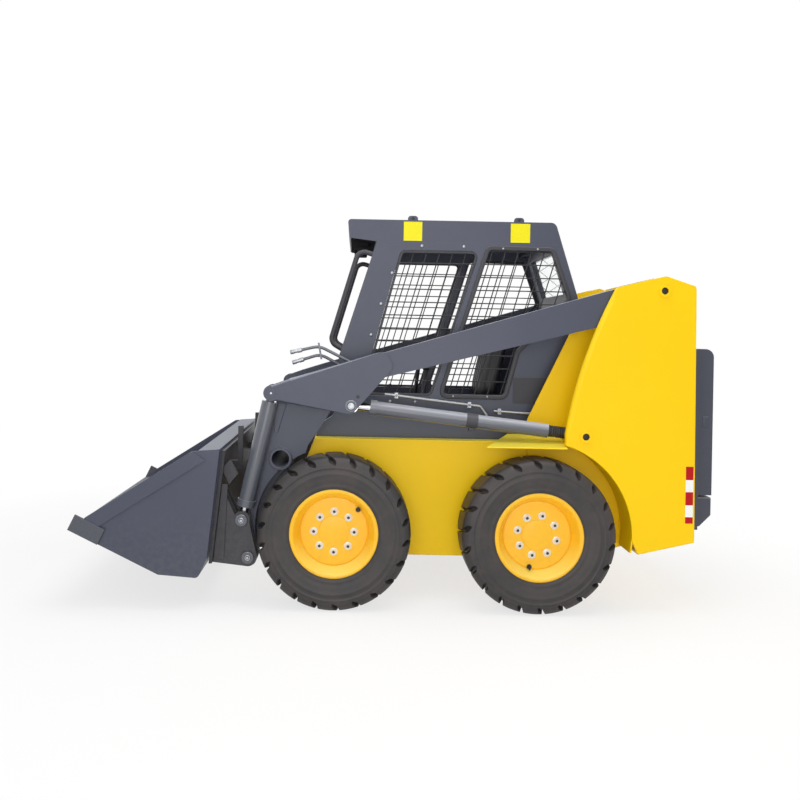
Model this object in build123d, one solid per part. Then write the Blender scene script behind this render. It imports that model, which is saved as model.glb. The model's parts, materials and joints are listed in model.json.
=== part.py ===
from build123d import *
from math import hypot, radians, sin, sqrt
import os

# Skid steer loader, in millimetres: X forward, Y to the machine's left, Z up from the ground.
# X is measured from the rear axle here, and from the middle of the length in the files.

# Widths that the others are placed from
frame_half_width = 540
wheelbase = 1025

# Wheels and axles
wheel_offset = 158
tyre_radius = 386.5
tyre_width = 264
tyre_carcass_radius = 368
tyre_wall_radius = 345
tyre_recess_radius = 296
tyre_sides = 20
tyre_bore_sides = 20
lug_count = 20
lug_inner_width = 60
lug_outer_width = 82
lug_shift = 4
lug_ridge_slope = 0.058
lug_gap = 2
lug_root_radius = 330
lug_bevel = [(100, 386.5), (132, 342)]
rim_flange_radius = 222.5
rim_flange_thickness = 12
rim_flange_height = 20
rim_seat_radius = 205
rim_wall = 9
rim_width = 234
dish_radius = 172
disc_face_offset = 47
disc_thickness = 14
hub_cap_radius = 76
hub_cap_height = 4
hub_cap_chamfer = 3
axle_radius = 45
housing_radius = 75
housing_length = 150
housing_flange_radius = 115
housing_flange_thickness = 16
running_gap = 0.3

# Main frame
frame_side_wall = 45
frame_plate = 12
frame_rear_x = -880
frame_bottom_z = 228
frame_top_z = 834
frame_tail = [(-508, 300), (-250, 228)]
frame_tail_z = 390
frame_toe = [(wheelbase + 35, 228), (wheelbase + 143, 330), (wheelbase + 171, 560), (wheelbase + 163, 706)]
frame_toe_top_x = wheelbase + 113
frame_ledge = 10
rear_opening_inset = 70
rear_opening_low_z = 590

# Towers with fenders
tower_width = 220
tower_plate = 12
tower_inner_plate = 10
tower_flange_depth = 13
tower_front = [(-132, 900), (-225, 1282), (-377, 1643)]
tower_peak = (-626, 1707)
tower_rear_top = (-778, 1657)
tower_rear_low = (-790, 366)
tower_foot = (-508, 300)
tower_foot_slant = 40
tower_peak_round = 60
tower_top_round = 30
arch_radius = 475
arch_nose = (-134, 842)
arch_plate = 8
inner_plate_front = [(20, 961), (-190, 1404)]
inner_plate_step = 30
inner_plate_low_z = 700
engine_bay_top_z = 1335
fender_front_x = 262
fender_inner_front_x = 128
fender_outer_z = 830
fender_inner_z = 875
fender_plate = 8
pivot_ring_radius = 31
pivot_ring_height = 9
pivot_hole_radius = 18
pivot_hole_depth = 16

# Joint places, X and Z
arm_pivot = (-617, 1631)
lift_base = (-234, 889)
lift_eye = (wheelbase - 74, 1020)
tilt_base = (wheelbase + 331, 1078)
tilt_eye = (wheelbase + 471, 431)
bucket_pivot = (wheelbase + 435, 243)
arm_pivot_pin_radius = 34
lift_pin_radius = 25
tilt_pin_radius = 22
bucket_pin_radius = 24

# Lift arms
beam_offset = 85
beam_width = 100
beam_top = [(-328, 1623), (wheelbase + 238, 1151)]
beam_bottom = [(-306, 1445), (wheelbase - 294, 1181)]
beam_end_x = wheelbase + 245
arm_hub_radius = 70
arm_hub_step_in = 33
arm_hub_step_out = 10
knee_plate = 16
knee_rear_top = (wheelbase - 241, 1302)
knee_rear = (wheelbase - 289, 1221)
knee_rear_round = 45
knee_low_rear = (wheelbase - 80, 977)
knee_low_round = 40
knee_low_front = (wheelbase + 302, 1036)
knee_boss_radius = 40
knee_pin_head = 5
leg_step_in = 40
leg_thickness = 47
leg_rear = [(wheelbase + 29, 990), (wheelbase + 92, 884), (wheelbase + 145, 807), (wheelbase + 161, 750)]
leg_front = [(wheelbase + 305, 1060), (wheelbase + 367, 800), (wheelbase + 477, 330)]
leg_front_round = 120
leg_foot_round = 40
leg_top_z = 1090
leg_top_inset = 60
leg_tyre_gap = 24
leg_boss_radius = 44
cross_tube = (wheelbase + 285, 734)
cross_tube_radius = 56
cross_tube_wall = 11
cross_tube_stand = 18

# Cylinders
lift_barrel_radius = 36
lift_rod_show = 98
lift_barrel_start = 178
lift_rod_radius = 22.5
lift_eye_radius = 38
tilt_barrel_radius = 41
tilt_rod_show = 65
tilt_barrel_start = 48
tilt_rod_radius = 20
tilt_eye_radius = 36
eye_width = 50
gland_length = 34
gland_extra = 5
piston_room = 60
rod_end_room = 34
eye_side_gap = 2.5

# Bucket and hitch
bucket_overhang = 28
bucket_plate = 12
bucket_tip = (wheelbase + 1310, 395)
bucket_floor_bend = (wheelbase + 863, 180)
bucket_heel = (wheelbase + 666, 166)
bucket_heel_round = 25
bucket_floor_round = 75
bucket_back_low = (wheelbase + 624, 260)
bucket_back_top = (wheelbase + 570, 803)
bucket_side_top_rear = (wheelbase + 708, 790)
bucket_side_top_front = (wheelbase + 1227, 455)
bucket_strip_width = 72
bucket_strip_thickness = 10
bucket_rail_depth = 105
bucket_rail_height = 46
bucket_rail_drop = 8
cutting_edge_length = 165
cutting_edge_thickness = 25
cutting_edge_bevel = 35
side_cutter_height = 84
side_cutter_thickness = 14
hitch_leg_gap = 6
hitch_eye_gap = 3
hitch_plate = 16
hitch_face_plate = 16
hitch_top_z = 785
hitch_low_z = 216
hitch_boss_radius = 46
hitch_top_radius = 42
hitch_rib_rise = 168
hitch_overhang = 34
hitch_pin_head = 12
latch_lever_inset = 118
latch_lever_width = 32
latch_lever_reach = 60
latch_lever_thickness = 26
latch_foot_drop = 130
latch_foot_height = 40
latch_lever_height = 95

# Cab
cab_inset = 90
cab_wall = 40
cab_split_z = 1885
cab_sill_front = [(wheelbase + 112, 834), (wheelbase + 96, 898), (wheelbase + 12, 952), (wheelbase - 3, 1265)]
cab_sill_rounds = [0, 45, 60, 70]
cab_kink = (-254, 1601)
cab_rear_low_x = -150
cab_visor_tip = (wheelbase - 37, 2002)
cab_visor_low = (wheelbase - 50, 1902)
cab_roof_rear_x = -128
cab_roof_plate = 36
cab_roof_round = 34
pillar_front_top_x = wheelbase - 194
window_front = [(wheelbase - 122, 1058), (wheelbase - 325, 1842), (276, 1842), (522, 1058)]
window_rear = [(478, 1058), (233, 1862), (-118, 1858), (-213, 1592), (62, 1306), (126, 1058)]
window_round = 38
rear_window = [1625, 1845]
rear_window_inset = 150
glass_thickness = 8
mesh_pitch = 70
mesh_wire = 5
mesh_slant = 0.29
mesh_border = 14
mesh_thickness = 8
mesh_set_back = 6
fit_gap = 0.5
lifting_eye_xs = [62, wheelbase - 389]
lifting_eye_inset = 45
lifting_eye_width = 54
lifting_eye_height = 28
lifting_eye_plate = 12
lifting_eye_hole_radius = 9
visor_lamp_inset = 190
visor_lamp_width = 190
visor_lamp_height = 54
visor_lamp_depth = 50
visor_lamp_mouth = 20
tail_lamp_width = 90
tail_lamp_height = 130
tail_lamp_depth = 22
tail_lamp_z = 1180

# Inside the cab
floor_z = 470
floor_plate = 12
floor_riser_x = 560
floor_toe_gap = 36
seat_base_x = [140, 540]
seat_base_inset = 45
seat_base_height = 90
seat_console_gap = 35
seat_cushion_x = [110, 600]
seat_cushion_height = 110
seat_cushion_round = 40
seat_back_height = 415
seat_back_thickness = 120
seat_back_lean = 12
console_x = [230, 620]
console_inset = 70
console_width = 110
console_height = 190
console_step = 60
lever_inset = 60
lever_radius = 12
lever_height = 190
lever_tilt = (-20, -30)
lever_knob_radius = 26

# Rails and pipes
rail_radius = 14
rail_points = [(wheelbase - 189, 1812), (wheelbase - 100, 1838), (wheelbase + 45, 1340), (wheelbase - 40, 1291)]
rail_bend = 45
pipe_radius = 7
cab_pipe_front = [(wheelbase - 253, 1067), (258, 1011), (223, 962)]
cab_pipe_rear = [(188, 987), (-60, 973), (-140, 955)]
pipe_bend = 22
pipe_clip_width = 18
pipe_clip_height = 30
pipe_clip_thickness = 20
pipe_clip_shares = (0.12, 0.88)
aux_upper = [(wheelbase - 120, 1213), (wheelbase + 98, 1319), (wheelbase + 248, 1283)]
aux_lower = [(wheelbase - 40, 1208), (wheelbase + 92, 1276), (wheelbase + 237, 1229)]
aux_pipe_radius = 8
aux_bend = 30
aux_coupler_radius = 15
aux_coupler_length = 62
aux_upper_inset = 27
aux_lower_inset = 41
aux_block = [(wheelbase - 145, 1170), (wheelbase + 15, 1222)]
aux_block_inset = 55

# Rear body
engine_x = [-660, -200]
engine_half_width = 290
engine_top_z = 860
hood_front = (-238, 1402)
hood_plate = 22
hood_slot_length = 300
hood_slot_width = 14
hood_slot_pitch = 60
hood_slot_count = 7
door_front_x = -886
door_rear_x = -965
door_inset = 25
door_low_z = 567
door_top_z = 1341
door_top_round = 45
door_wall = 24
door_slot_length = 360
door_slot_width = 16
door_slot_pitch = 48
door_slot_count = 9
door_slot_gap = 60
bumper_low_z = 401
bumper_gap = 10
bumper_chamfer = 60
hinge_x = -905
hinge_stand = 5
hinge_barrel_radius = 12
hinge_pin_radius = 6
hinge_height = 44
hinge_zs = [690, 1160]

# Worked out from the dimensions above
axle_z = tyre_radius
track_half = frame_half_width + wheel_offset
axle_end_y = frame_half_width + housing_flange_thickness
housing_end_y = frame_half_width + housing_length
tower_outer_y = frame_half_width + tower_width
tower_inner_y = frame_half_width + tower_inner_plate
tower_inside_y = tower_outer_y - tower_plate
beam_inner_y = frame_half_width + beam_offset
beam_outer_y = beam_inner_y + beam_width
arm_hub_inner_y = beam_inner_y - arm_hub_step_in
arm_hub_outer_y = beam_outer_y + arm_hub_step_out
leg_inner_y = beam_inner_y - leg_step_in
leg_outer_y = leg_inner_y + leg_thickness
cross_tube_end_y = leg_outer_y + cross_tube_stand
hitch_inner_y = leg_inner_y - hitch_leg_gap - hitch_plate
hitch_middle_y = leg_outer_y + hitch_leg_gap
hitch_outer_y = hitch_middle_y + hitch_plate + eye_width + 2 * hitch_eye_gap
hitch_plates_y = [hitch_inner_y, hitch_middle_y, hitch_outer_y]
hitch_half_width = hitch_outer_y + hitch_plate + hitch_overhang
lift_y = (beam_inner_y + beam_outer_y) / 2
tilt_y = (hitch_middle_y + hitch_plate + hitch_outer_y) / 2
bucket_half_width = track_half + tyre_width / 2 + bucket_overhang
cab_half_width = frame_half_width - cab_inset
cab_inside_y = cab_half_width - cab_wall
frame_inside_y = frame_half_width - frame_side_wall
frame_opening_half_width = cab_inside_y - frame_ledge
console_y = [cab_half_width - console_inset - console_width, cab_half_width - console_inset]
seat_cushion_half_width = console_y[0] - seat_console_gap
seat_base_half_width = seat_cushion_half_width - seat_base_inset
visor_lamp_ys = [visor_lamp_inset - cab_half_width, cab_half_width - visor_lamp_inset]
lifting_eye_y = cab_half_width - lifting_eye_inset
rear_window_half_width = cab_half_width - rear_window_inset
door_half_width = frame_half_width - door_inset
hinge_y = frame_half_width + hinge_stand


def section(corners):
    """Flat face in the XZ plane from (x, z) or (x, z, corner radius) corners."""
    points = [(corner[0], 0, corner[1]) for corner in corners]
    radii = [corner[2] if len(corner) > 2 else 0 for corner in corners]
    return make_face(FilletPolyline(*points, radius=radii, close=True))


def along_y(face, y_low, y_high):
    """A flat XZ face carried from one Y to another."""
    return extrude(Pos(0, y_low, 0) * face, y_high - y_low, dir=(0, 1, 0))


def plate(corners, y_low, y_high):
    """A plate of the given XZ outline between two Y values."""
    return along_y(section(corners), y_low, y_high)


def block(x_range, y_range, z_range):
    """A box from its three ranges."""
    size = [high - low for low, high in (x_range, y_range, z_range)]
    middle = [(low + high) / 2 for low, high in (x_range, y_range, z_range)]
    return Pos(*middle) * Box(*size)


def pin(at, radius, y_low, y_high):
    """A round bar along Y at an (x, z) place."""
    foot = Plane((at[0], y_low, at[1]), z_dir=(0, 1, 0))
    return foot * Cylinder(radius, y_high - y_low, align=(Align.CENTER, Align.CENTER, Align.MIN))


def bar(start, end, radius):
    """A round bar between two points."""
    run = Vector(*end) - Vector(*start)
    foot = Plane(start, z_dir=run)
    return foot * Cylinder(radius, run.length, align=(Align.CENTER, Align.CENTER, Align.MIN))


def bent_bar(points, radius, bend):
    """A round bar along straight runs joined by arcs."""
    path = FilletPolyline(*points, radius=bend)
    start = Plane(points[0], z_dir=path % 0)
    return sweep(start * Circle(radius), path=path)


def at_y(points, y):
    """XZ points set at one Y."""
    return [(x, y, z) for x, z in points]


def right_hand(shape):
    """The same piece on the machine's right side."""
    return mirror(shape, about=Plane.XZ)


def both_sides(shape):
    """A left-hand piece with its right-hand copy."""
    return Compound(children=[shape, right_hand(shape)])


def along(start, end, distance):
    """The XZ point at a distance from start towards end."""
    length = hypot(end[0] - start[0], end[1] - start[1])
    share = distance / length
    return (start[0] + (end[0] - start[0]) * share, start[1] + (end[1] - start[1]) * share)


def height_on(line, x):
    """Z of a straight line of two XZ points at x."""
    (x0, z0), (x1, z1) = line
    return z0 + (z1 - z0) * (x - x0) / (x1 - x0)


def spun(profile):
    """A ring about the Y axis from (radius, y) corners."""
    return revolve(make_face(Polyline(*profile, close=True)), Axis.Y)


def many_sided(radius, sides, y):
    """Regular polygon face square to Y, with a flat at the bottom."""
    place = Plane((0, y, 0), x_dir=(0, 0, 1), z_dir=(0, 1, 0))
    return place * RegularPolygon(radius, sides, major_radius=False, rotation=180 / sides)


def many_sided_bar(steps, sides):
    """Bar along Y through polygons, from (apothem, y) steps."""
    return loft([many_sided(radius, sides, y) for radius, y in steps], ruled=True)


def tyre_lug():
    """One slanting lug at the bottom of the tyre's left half, with a low ridge and a bevelled end."""
    faces = []
    ends = [(lug_gap, -lug_shift, lug_inner_width / 2), (tyre_width / 2, lug_shift, lug_outer_width / 2)]
    for y, shift, half in ends:
        edge = lug_ridge_slope * half - tyre_radius
        across = [(-half, -lug_root_radius), (-half, edge), (0, -tyre_radius), (half, edge)]
        across += [(half, -lug_root_radius)]
        faces.append(make_face(Polyline(*[(x + shift, y, z) for x, z in across], close=True)))
    beyond = tyre_width
    end = [*lug_bevel, (beyond, lug_bevel[1][1]), (beyond, lug_bevel[0][1])]
    bevel = make_face(Polyline(*[(-beyond, y, -radius) for y, radius in end], close=True))
    return loft(faces, ruled=True) - extrude(bevel, 2 * beyond, dir=(1, 0, 0))


def tyre():
    """Many-sided carcass with two rows of lugs, open for the rim."""
    half = tyre_width / 2
    steps = [(tyre_wall_radius, -half), (tyre_carcass_radius, 0), (tyre_wall_radius, half)]
    carcass = many_sided_bar(steps, tyre_sides)
    row = [Rot(0, 360 / lug_count * index, 0) * tyre_lug() for index in range(lug_count)]
    other_row = [Rot(0, 180 / lug_count, 0) * right_hand(lug) for lug in row]
    tread = carcass + row + other_row
    edge, lip = rim_width / 2, rim_flange_radius + running_gap
    bead = edge - rim_flange_thickness - running_gap
    recess = many_sided_bar([(lip, bead), (lip, edge)], tyre_bore_sides)
    recess += many_sided_bar([(lip, edge), (tyre_recess_radius, half)], tyre_bore_sides)
    bore = rim_seat_radius + running_gap
    tread -= many_sided_bar([(bore, -half), (bore, half)], tyre_bore_sides)
    return tread - recess - right_hand(recess)


def wheel():
    """Rim with a conical dish, disc, cap and axle stub, turned as one."""
    edge, inner = rim_width / 2, rim_width / 2 - rim_flange_thickness
    bore = rim_seat_radius - rim_wall
    disc_back = disc_face_offset - disc_thickness
    cap = disc_face_offset + hub_cap_height
    stub = axle_end_y - track_half
    profile = [(0, stub), (axle_radius, stub), (axle_radius, disc_back), (dish_radius, disc_back)]
    profile += [(bore, disc_back - disc_thickness), (bore, -edge), (rim_flange_radius, -edge)]
    profile += [(rim_flange_radius, -inner), (rim_seat_radius, -inner), (rim_seat_radius, inner)]
    profile += [(rim_flange_radius, inner), (rim_flange_radius, edge)]
    profile += [(rim_flange_radius - rim_flange_height, edge), (dish_radius, disc_face_offset)]
    profile += [(hub_cap_radius, disc_face_offset)]
    profile += [(hub_cap_radius - hub_cap_chamfer, cap), (0, cap)]
    return spun(profile)


def axle_housings():
    """Four tubes on flanges outside the frame, bored for the axle stubs."""
    pieces = []
    for x in (0, wheelbase):
        place = (x, axle_z)
        housing = pin(place, housing_flange_radius, frame_half_width, axle_end_y)
        housing += pin(place, housing_radius, frame_half_width, housing_end_y)
        housing -= pin(place, axle_radius + running_gap, axle_end_y - running_gap, housing_end_y)
        pieces += [housing, right_hand(housing)]
    return Compound(children=pieces)


def frame_outline():
    """Side outline of the main frame: tail, floor, sloping toe and top."""
    return [(frame_rear_x, frame_top_z), (frame_rear_x, frame_tail_z), *frame_tail, *frame_toe,
            (frame_toe_top_x, frame_top_z)]


def frame_room():
    """Space inside the frame's side walls, floor and ends."""
    room = offset(section(frame_outline()), -frame_plate, kind=Kind.INTERSECTION)
    return along_y(room, -frame_inside_y, frame_inside_y)


def main_frame():
    tub = plate(frame_outline(), -frame_half_width, frame_half_width) - frame_room()
    opening_x = (frame_rear_x + 2 * frame_plate, frame_toe_top_x - 2 * frame_plate)
    opening_y = (-frame_opening_half_width, frame_opening_half_width)
    tub -= block(opening_x, opening_y, (frame_top_z - 2 * frame_plate, frame_top_z + frame_plate))
    rear_x = (frame_rear_x - frame_plate, frame_rear_x + 2 * frame_plate)
    rear_half = frame_half_width - rear_opening_inset
    tub -= block(rear_x, (-rear_half, rear_half), (rear_opening_low_z, frame_top_z + frame_plate))
    return tub


def tower_outline():
    """Outer plate as one face: curved front edge, rounded top and the wheel arch."""
    low, middle, top = [(x, 0, z) for x, z in tower_front]
    front = ThreePointArc(low, middle, top)
    corners = [tower_front[-1], tower_peak, tower_rear_top, tower_rear_low, tower_foot]
    corners += [(tower_foot[0] + tower_foot_slant, axle_z), arch_nose, tower_front[0]]
    rest = Polyline(*[(x, 0, z) for x, z in corners])
    face = make_face(front + rest)
    rounds = [(tower_peak, tower_peak_round), (tower_rear_top, tower_top_round)]
    rounds += [(tower_front[-1], tower_top_round)]
    for (x, z), radius in rounds:
        corner = face.vertices().sort_by_distance((x, 0, z))[0]
        face = fillet(corner, radius)
    return face


def tower_left():
    arch = pin((0, axle_z), arch_radius, 0, tower_outer_y * 2)
    skin_face = tower_outline()
    flange_y = tower_inside_y - tower_flange_depth
    skin = along_y(skin_face, flange_y, tower_outer_y)
    skin -= along_y(offset(skin_face, -tower_plate), flange_y, tower_inside_y)
    skin -= arch

    step_x = tower_rear_low[0]
    side = [(fender_inner_front_x, frame_top_z), (fender_inner_front_x, fender_inner_z)]
    side += [(inner_plate_front[0][0] + inner_plate_step, fender_inner_z), *inner_plate_front, tower_front[-1]]
    side += [tower_peak, tower_rear_top, (step_x, engine_bay_top_z), (frame_rear_x, engine_bay_top_z)]
    side += [(frame_rear_x, frame_tail_z), (tower_foot[0], frame_tail_z), (tower_foot[0], inner_plate_low_z)]
    side += [(inner_plate_front[0][0], inner_plate_low_z), (inner_plate_front[0][0], frame_top_z)]
    inner = plate(side, frame_half_width, tower_inner_y)

    liner_wedge = [(0, axle_z), (arch_nose[0] * 1.6, axle_z + (arch_nose[1] - axle_z) * 1.6)]
    liner_wedge += [(-2 * arch_radius, arch_nose[1]), (-2 * arch_radius, tower_foot[1]), tower_foot]
    liner = plate(liner_wedge, tower_inner_y, tower_inside_y)
    liner &= pin((0, axle_z), arch_radius + arch_plate, 0, tower_outer_y * 2)
    liner -= arch

    back = [tower_rear_top, tower_rear_low, (tower_rear_low[0] + tower_plate, tower_rear_low[1])]
    back += [(tower_rear_top[0] + tower_plate, tower_rear_top[1])]
    foot = [tower_rear_low, tower_foot, (tower_foot[0], tower_foot[1] + tower_plate)]
    foot += [(tower_rear_low[0], tower_rear_low[1] + tower_plate)]
    shell = skin + inner + liner
    shell += plate(back, tower_inner_y, tower_inside_y)
    shell += plate(foot, tower_inner_y, tower_inside_y) - arch

    eye_half = eye_width / 2 + eye_side_gap
    hub_low, hub_high = arm_hub_inner_y - eye_side_gap, arm_hub_outer_y + eye_side_gap
    supports = [(arm_pivot, arm_pivot_pin_radius, hub_low, hub_high)]
    supports += [(lift_base, lift_pin_radius, lift_y - eye_half, lift_y + eye_half)]
    for place, radius, seat_low, seat_high in supports:
        shell += pin(place, radius, frame_half_width, tower_outer_y)
        shell += pin(place, radius + tower_plate, tower_inner_y, seat_low)
        shell += pin(place, radius + tower_plate, seat_high, tower_inside_y)
        shell += pin(place, pivot_ring_radius, tower_outer_y, tower_outer_y + pivot_ring_height)
        hole_low = tower_outer_y + pivot_ring_height - pivot_hole_depth
        shell -= pin(place, pivot_hole_radius, hole_low, tower_outer_y + pivot_ring_height)
    return shell + fender()


def fender():
    """Sloping shelf over the rear wheel, with a slanting front edge in plan."""
    rear_x = tower_front[0][0] - tower_plate
    outer, inner = (tower_outer_y, fender_outer_z), (tower_inner_y, fender_inner_z)
    corners = [(rear_x, *outer), (rear_x, *inner)]
    corners += [(rear_x, inner[0], inner[1] - fender_plate), (rear_x, outer[0], outer[1] - fender_plate)]
    shelf = extrude(make_face(Polyline(*corners, close=True)), fender_front_x - rear_x, dir=(1, 0, 0))
    cut = [(fender_front_x, tower_outer_y), (fender_inner_front_x, tower_inner_y)]
    cut += [(fender_front_x, tower_inner_y)]
    corner = make_face(Polyline(*[(x, y, 0) for x, y in cut], close=True))
    wedge = extrude(corner, 2 * fender_inner_z, dir=(0, 0, 1))
    return shelf - wedge


def door_hinge_lugs():
    """Tabs with upright pins on a tower, which carry the rear door."""
    pieces = []
    for z in hinge_zs:
        tab = block((hinge_x, frame_rear_x), (frame_half_width, tower_inner_y), (z - hinge_height, z))
        barrel = Pos(hinge_x, hinge_y, z - hinge_height / 2) * Cylinder(hinge_barrel_radius, hinge_height)
        upright = Pos(hinge_x, hinge_y, z + hinge_height / 2) * Cylinder(hinge_pin_radius, hinge_height)
        pieces += [tab + barrel + upright]
    return pieces


def beam_line(x, line):
    return (x, height_on(line, x))


def arm_left():
    top_end = beam_line(beam_end_x, beam_top)
    low_end = (beam_end_x, knee_low_front[1] + knee_boss_radius)
    outline = [(arm_pivot[0], arm_pivot[1] + arm_hub_radius), beam_top[0], top_end, low_end]
    outline += [beam_line(knee_low_rear[0], beam_bottom), beam_bottom[0]]
    outline += [(arm_pivot[0], arm_pivot[1] - arm_hub_radius)]
    arm = plate(outline, beam_inner_y, beam_outer_y)
    arm += pin(arm_pivot, arm_hub_radius, beam_inner_y, beam_outer_y)
    arm += pin(arm_pivot, arm_pivot_pin_radius + knee_plate, arm_hub_inner_y, arm_hub_outer_y)

    knee = [(*knee_rear_top, knee_rear_round), (*beam_top[1], knee_boss_radius)]
    knee += [(tilt_base[0] + knee_boss_radius * 0.7, tilt_base[1] + knee_boss_radius * 0.7)]
    knee += [(tilt_base[0] + knee_boss_radius * 0.3, tilt_base[1] - knee_boss_radius * 0.95)]
    knee += [knee_low_front, (*knee_low_rear, knee_low_round), (*knee_rear, knee_rear_round)]
    for y_low in (beam_inner_y - knee_plate, beam_outer_y):
        arm += plate(knee, y_low, y_low + knee_plate)
        arm += pin(tilt_base, knee_boss_radius, y_low, y_low + knee_plate)

    arm += leg()
    eye_half = eye_width / 2 + eye_side_gap
    arm += pin(tilt_base, tilt_pin_radius, beam_inner_y, beam_outer_y)
    arm += pin(tilt_base, tilt_pin_radius + knee_plate / 2, beam_inner_y, tilt_y - eye_half)
    arm += pin(tilt_base, tilt_pin_radius + knee_plate / 2, tilt_y + eye_half, beam_outer_y)
    for place in (tilt_base, lift_eye):
        arm += pin(place, tilt_pin_radius, beam_outer_y + knee_plate, beam_outer_y + knee_plate + knee_pin_head)
    arm -= pin(arm_pivot, arm_pivot_pin_radius + running_gap, arm_hub_inner_y, arm_hub_outer_y)
    arm -= pin(bucket_pivot, bucket_pin_radius + running_gap, leg_inner_y, leg_outer_y)
    arm -= pin(cross_tube, cross_tube_radius + running_gap, leg_inner_y, leg_outer_y)
    return arm


def leg():
    """Lower leg in front of the front tyre, from the knee down to the bucket pivot."""
    clear = tyre_radius + leg_tyre_gap
    boss_tail = (bucket_pivot[0] - leg_boss_radius, bucket_pivot[1])
    outline = [*leg_rear, (leg_rear[-1][0], bucket_pivot[1]), boss_tail]
    outline += [(bucket_pivot[0] + leg_boss_radius, bucket_pivot[1]), (*leg_front[2], leg_foot_round)]
    outline += [(*leg_front[1], leg_front_round), leg_front[0], (leg_front[0][0] - leg_top_inset, leg_top_z)]
    outline += [(leg_rear[0][0] - leg_top_inset, leg_top_z)]
    piece = plate(outline, leg_inner_y, leg_outer_y)
    piece -= pin((wheelbase, axle_z), clear, leg_inner_y, leg_outer_y)
    return piece + pin(bucket_pivot, leg_boss_radius, leg_inner_y, leg_outer_y)


def arm_cross_tube():
    tube = pin(cross_tube, cross_tube_radius, -cross_tube_end_y, cross_tube_end_y)
    return tube - pin(cross_tube, cross_tube_radius - cross_tube_wall, -cross_tube_end_y, cross_tube_end_y)


def aux_lines():
    """Two hard pipes with quick couplers, from a block on the left arm's inner face."""
    (x0, z0), (x1, z1) = aux_block
    lines = block((x0, x1), (beam_inner_y - aux_block_inset, beam_inner_y - knee_plate), (z0, z1))
    for points, inset in ((aux_upper, aux_upper_inset), (aux_lower, aux_lower_inset)):
        route = at_y(points, beam_inner_y - inset)
        lines += bent_bar(route, aux_pipe_radius, aux_bend)
        tip = Vector(*route[-1])
        back = (Vector(*route[-2]) - tip).normalized() * aux_coupler_length
        lines += bar(tuple(tip), tuple(tip + back), aux_coupler_radius)
    return lines


def barrel(base, eye, y, radius, start, rod_show, rod_radius, pin_radius, eye_radius):
    """Cylinder tube from its base eye to the gland, open for the rod."""
    length = hypot(eye[0] - base[0], eye[1] - base[1])
    tube_at, gland_at, end_at, bore_at = [
        at_y([along(base, eye, distance)], y)[0]
        for distance in (start, length - rod_show - gland_length, length - rod_show, start + piston_room)]
    tube = bar(tube_at, end_at, radius) + bar(gland_at, end_at, radius + gland_extra)
    tube += bar((base[0], y, base[1]), tube_at, eye_radius * 0.6)
    tube += pin(base, eye_radius, y - eye_width / 2, y + eye_width / 2)
    tube -= bar(bore_at, end_at, rod_radius + running_gap)
    return tube - pin(base, pin_radius + running_gap, y - eye_width / 2, y + eye_width / 2)


def rod(base, eye, y, start, rod_radius, pin_radius, eye_radius):
    """Cylinder rod from inside the tube to its eye."""
    inner = at_y([along(base, eye, start + piston_room + rod_end_room)], y)[0]
    piece = bar(inner, (eye[0], y, eye[1]), rod_radius)
    piece += pin(eye, eye_radius, y - eye_width / 2, y + eye_width / 2)
    return piece - pin(eye, pin_radius + running_gap, y - eye_width / 2, y + eye_width / 2)


def lift_barrel():
    return barrel(lift_base, lift_eye, lift_y, lift_barrel_radius, lift_barrel_start, lift_rod_show,
                  lift_rod_radius, lift_pin_radius, lift_eye_radius)


def lift_rod():
    return rod(lift_base, lift_eye, lift_y, lift_barrel_start, lift_rod_radius, lift_pin_radius,
               lift_eye_radius)


def tilt_barrel():
    return barrel(tilt_base, tilt_eye, tilt_y, tilt_barrel_radius, tilt_barrel_start, tilt_rod_show,
                  tilt_rod_radius, tilt_pin_radius, tilt_eye_radius)


def tilt_rod():
    return rod(tilt_base, tilt_eye, tilt_y, tilt_barrel_start, tilt_rod_radius, tilt_pin_radius,
               tilt_eye_radius)


def back_x(z):
    """X of the bucket's back at a height."""
    (x0, z0), (x1, z1) = bucket_back_low, bucket_back_top
    return x0 + (x1 - x0) * (z - z0) / (z1 - z0)


def hitch_frame():
    """Quick hitch behind the bucket: face plate, pivot plates and two latch levers."""
    face = [(back_x(hitch_low_z) - hitch_face_plate, hitch_low_z), (back_x(hitch_low_z), hitch_low_z)]
    face += [(back_x(hitch_top_z), hitch_top_z), (back_x(hitch_top_z) - hitch_face_plate, hitch_top_z)]
    frame = plate(face, -hitch_half_width, hitch_half_width)
    foot_x = back_x(hitch_low_z) - hitch_face_plate
    mid_z = tilt_eye[1] + hitch_rib_rise
    face_x = back_x(mid_z) - hitch_face_plate
    rib = [(bucket_pivot[0], bucket_pivot[1] - hitch_boss_radius), (foot_x + running_gap, hitch_low_z)]
    rib += [(face_x + running_gap, mid_z)]
    rib += [(tilt_eye[0] + hitch_top_radius * 0.8, tilt_eye[1] + hitch_top_radius * 0.6)]
    rib += [(tilt_eye[0] - hitch_top_radius * 0.9, tilt_eye[1])]
    rib += [(bucket_pivot[0] - hitch_boss_radius, bucket_pivot[1])]
    left = None
    for y in hitch_plates_y:
        ear = plate(rib, y, y + hitch_plate) + pin(bucket_pivot, hitch_boss_radius, y, y + hitch_plate)
        ear += pin(tilt_eye, hitch_top_radius, y, y + hitch_plate)
        left = ear if left is None else left + ear
    first, last = hitch_plates_y[0], hitch_plates_y[-1] + hitch_plate
    left += pin(bucket_pivot, bucket_pin_radius, first, last + hitch_pin_head)
    left += pin(tilt_eye, tilt_pin_radius, last, last + hitch_pin_head)
    left += latch_lever()
    return frame + left + right_hand(left)


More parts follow.
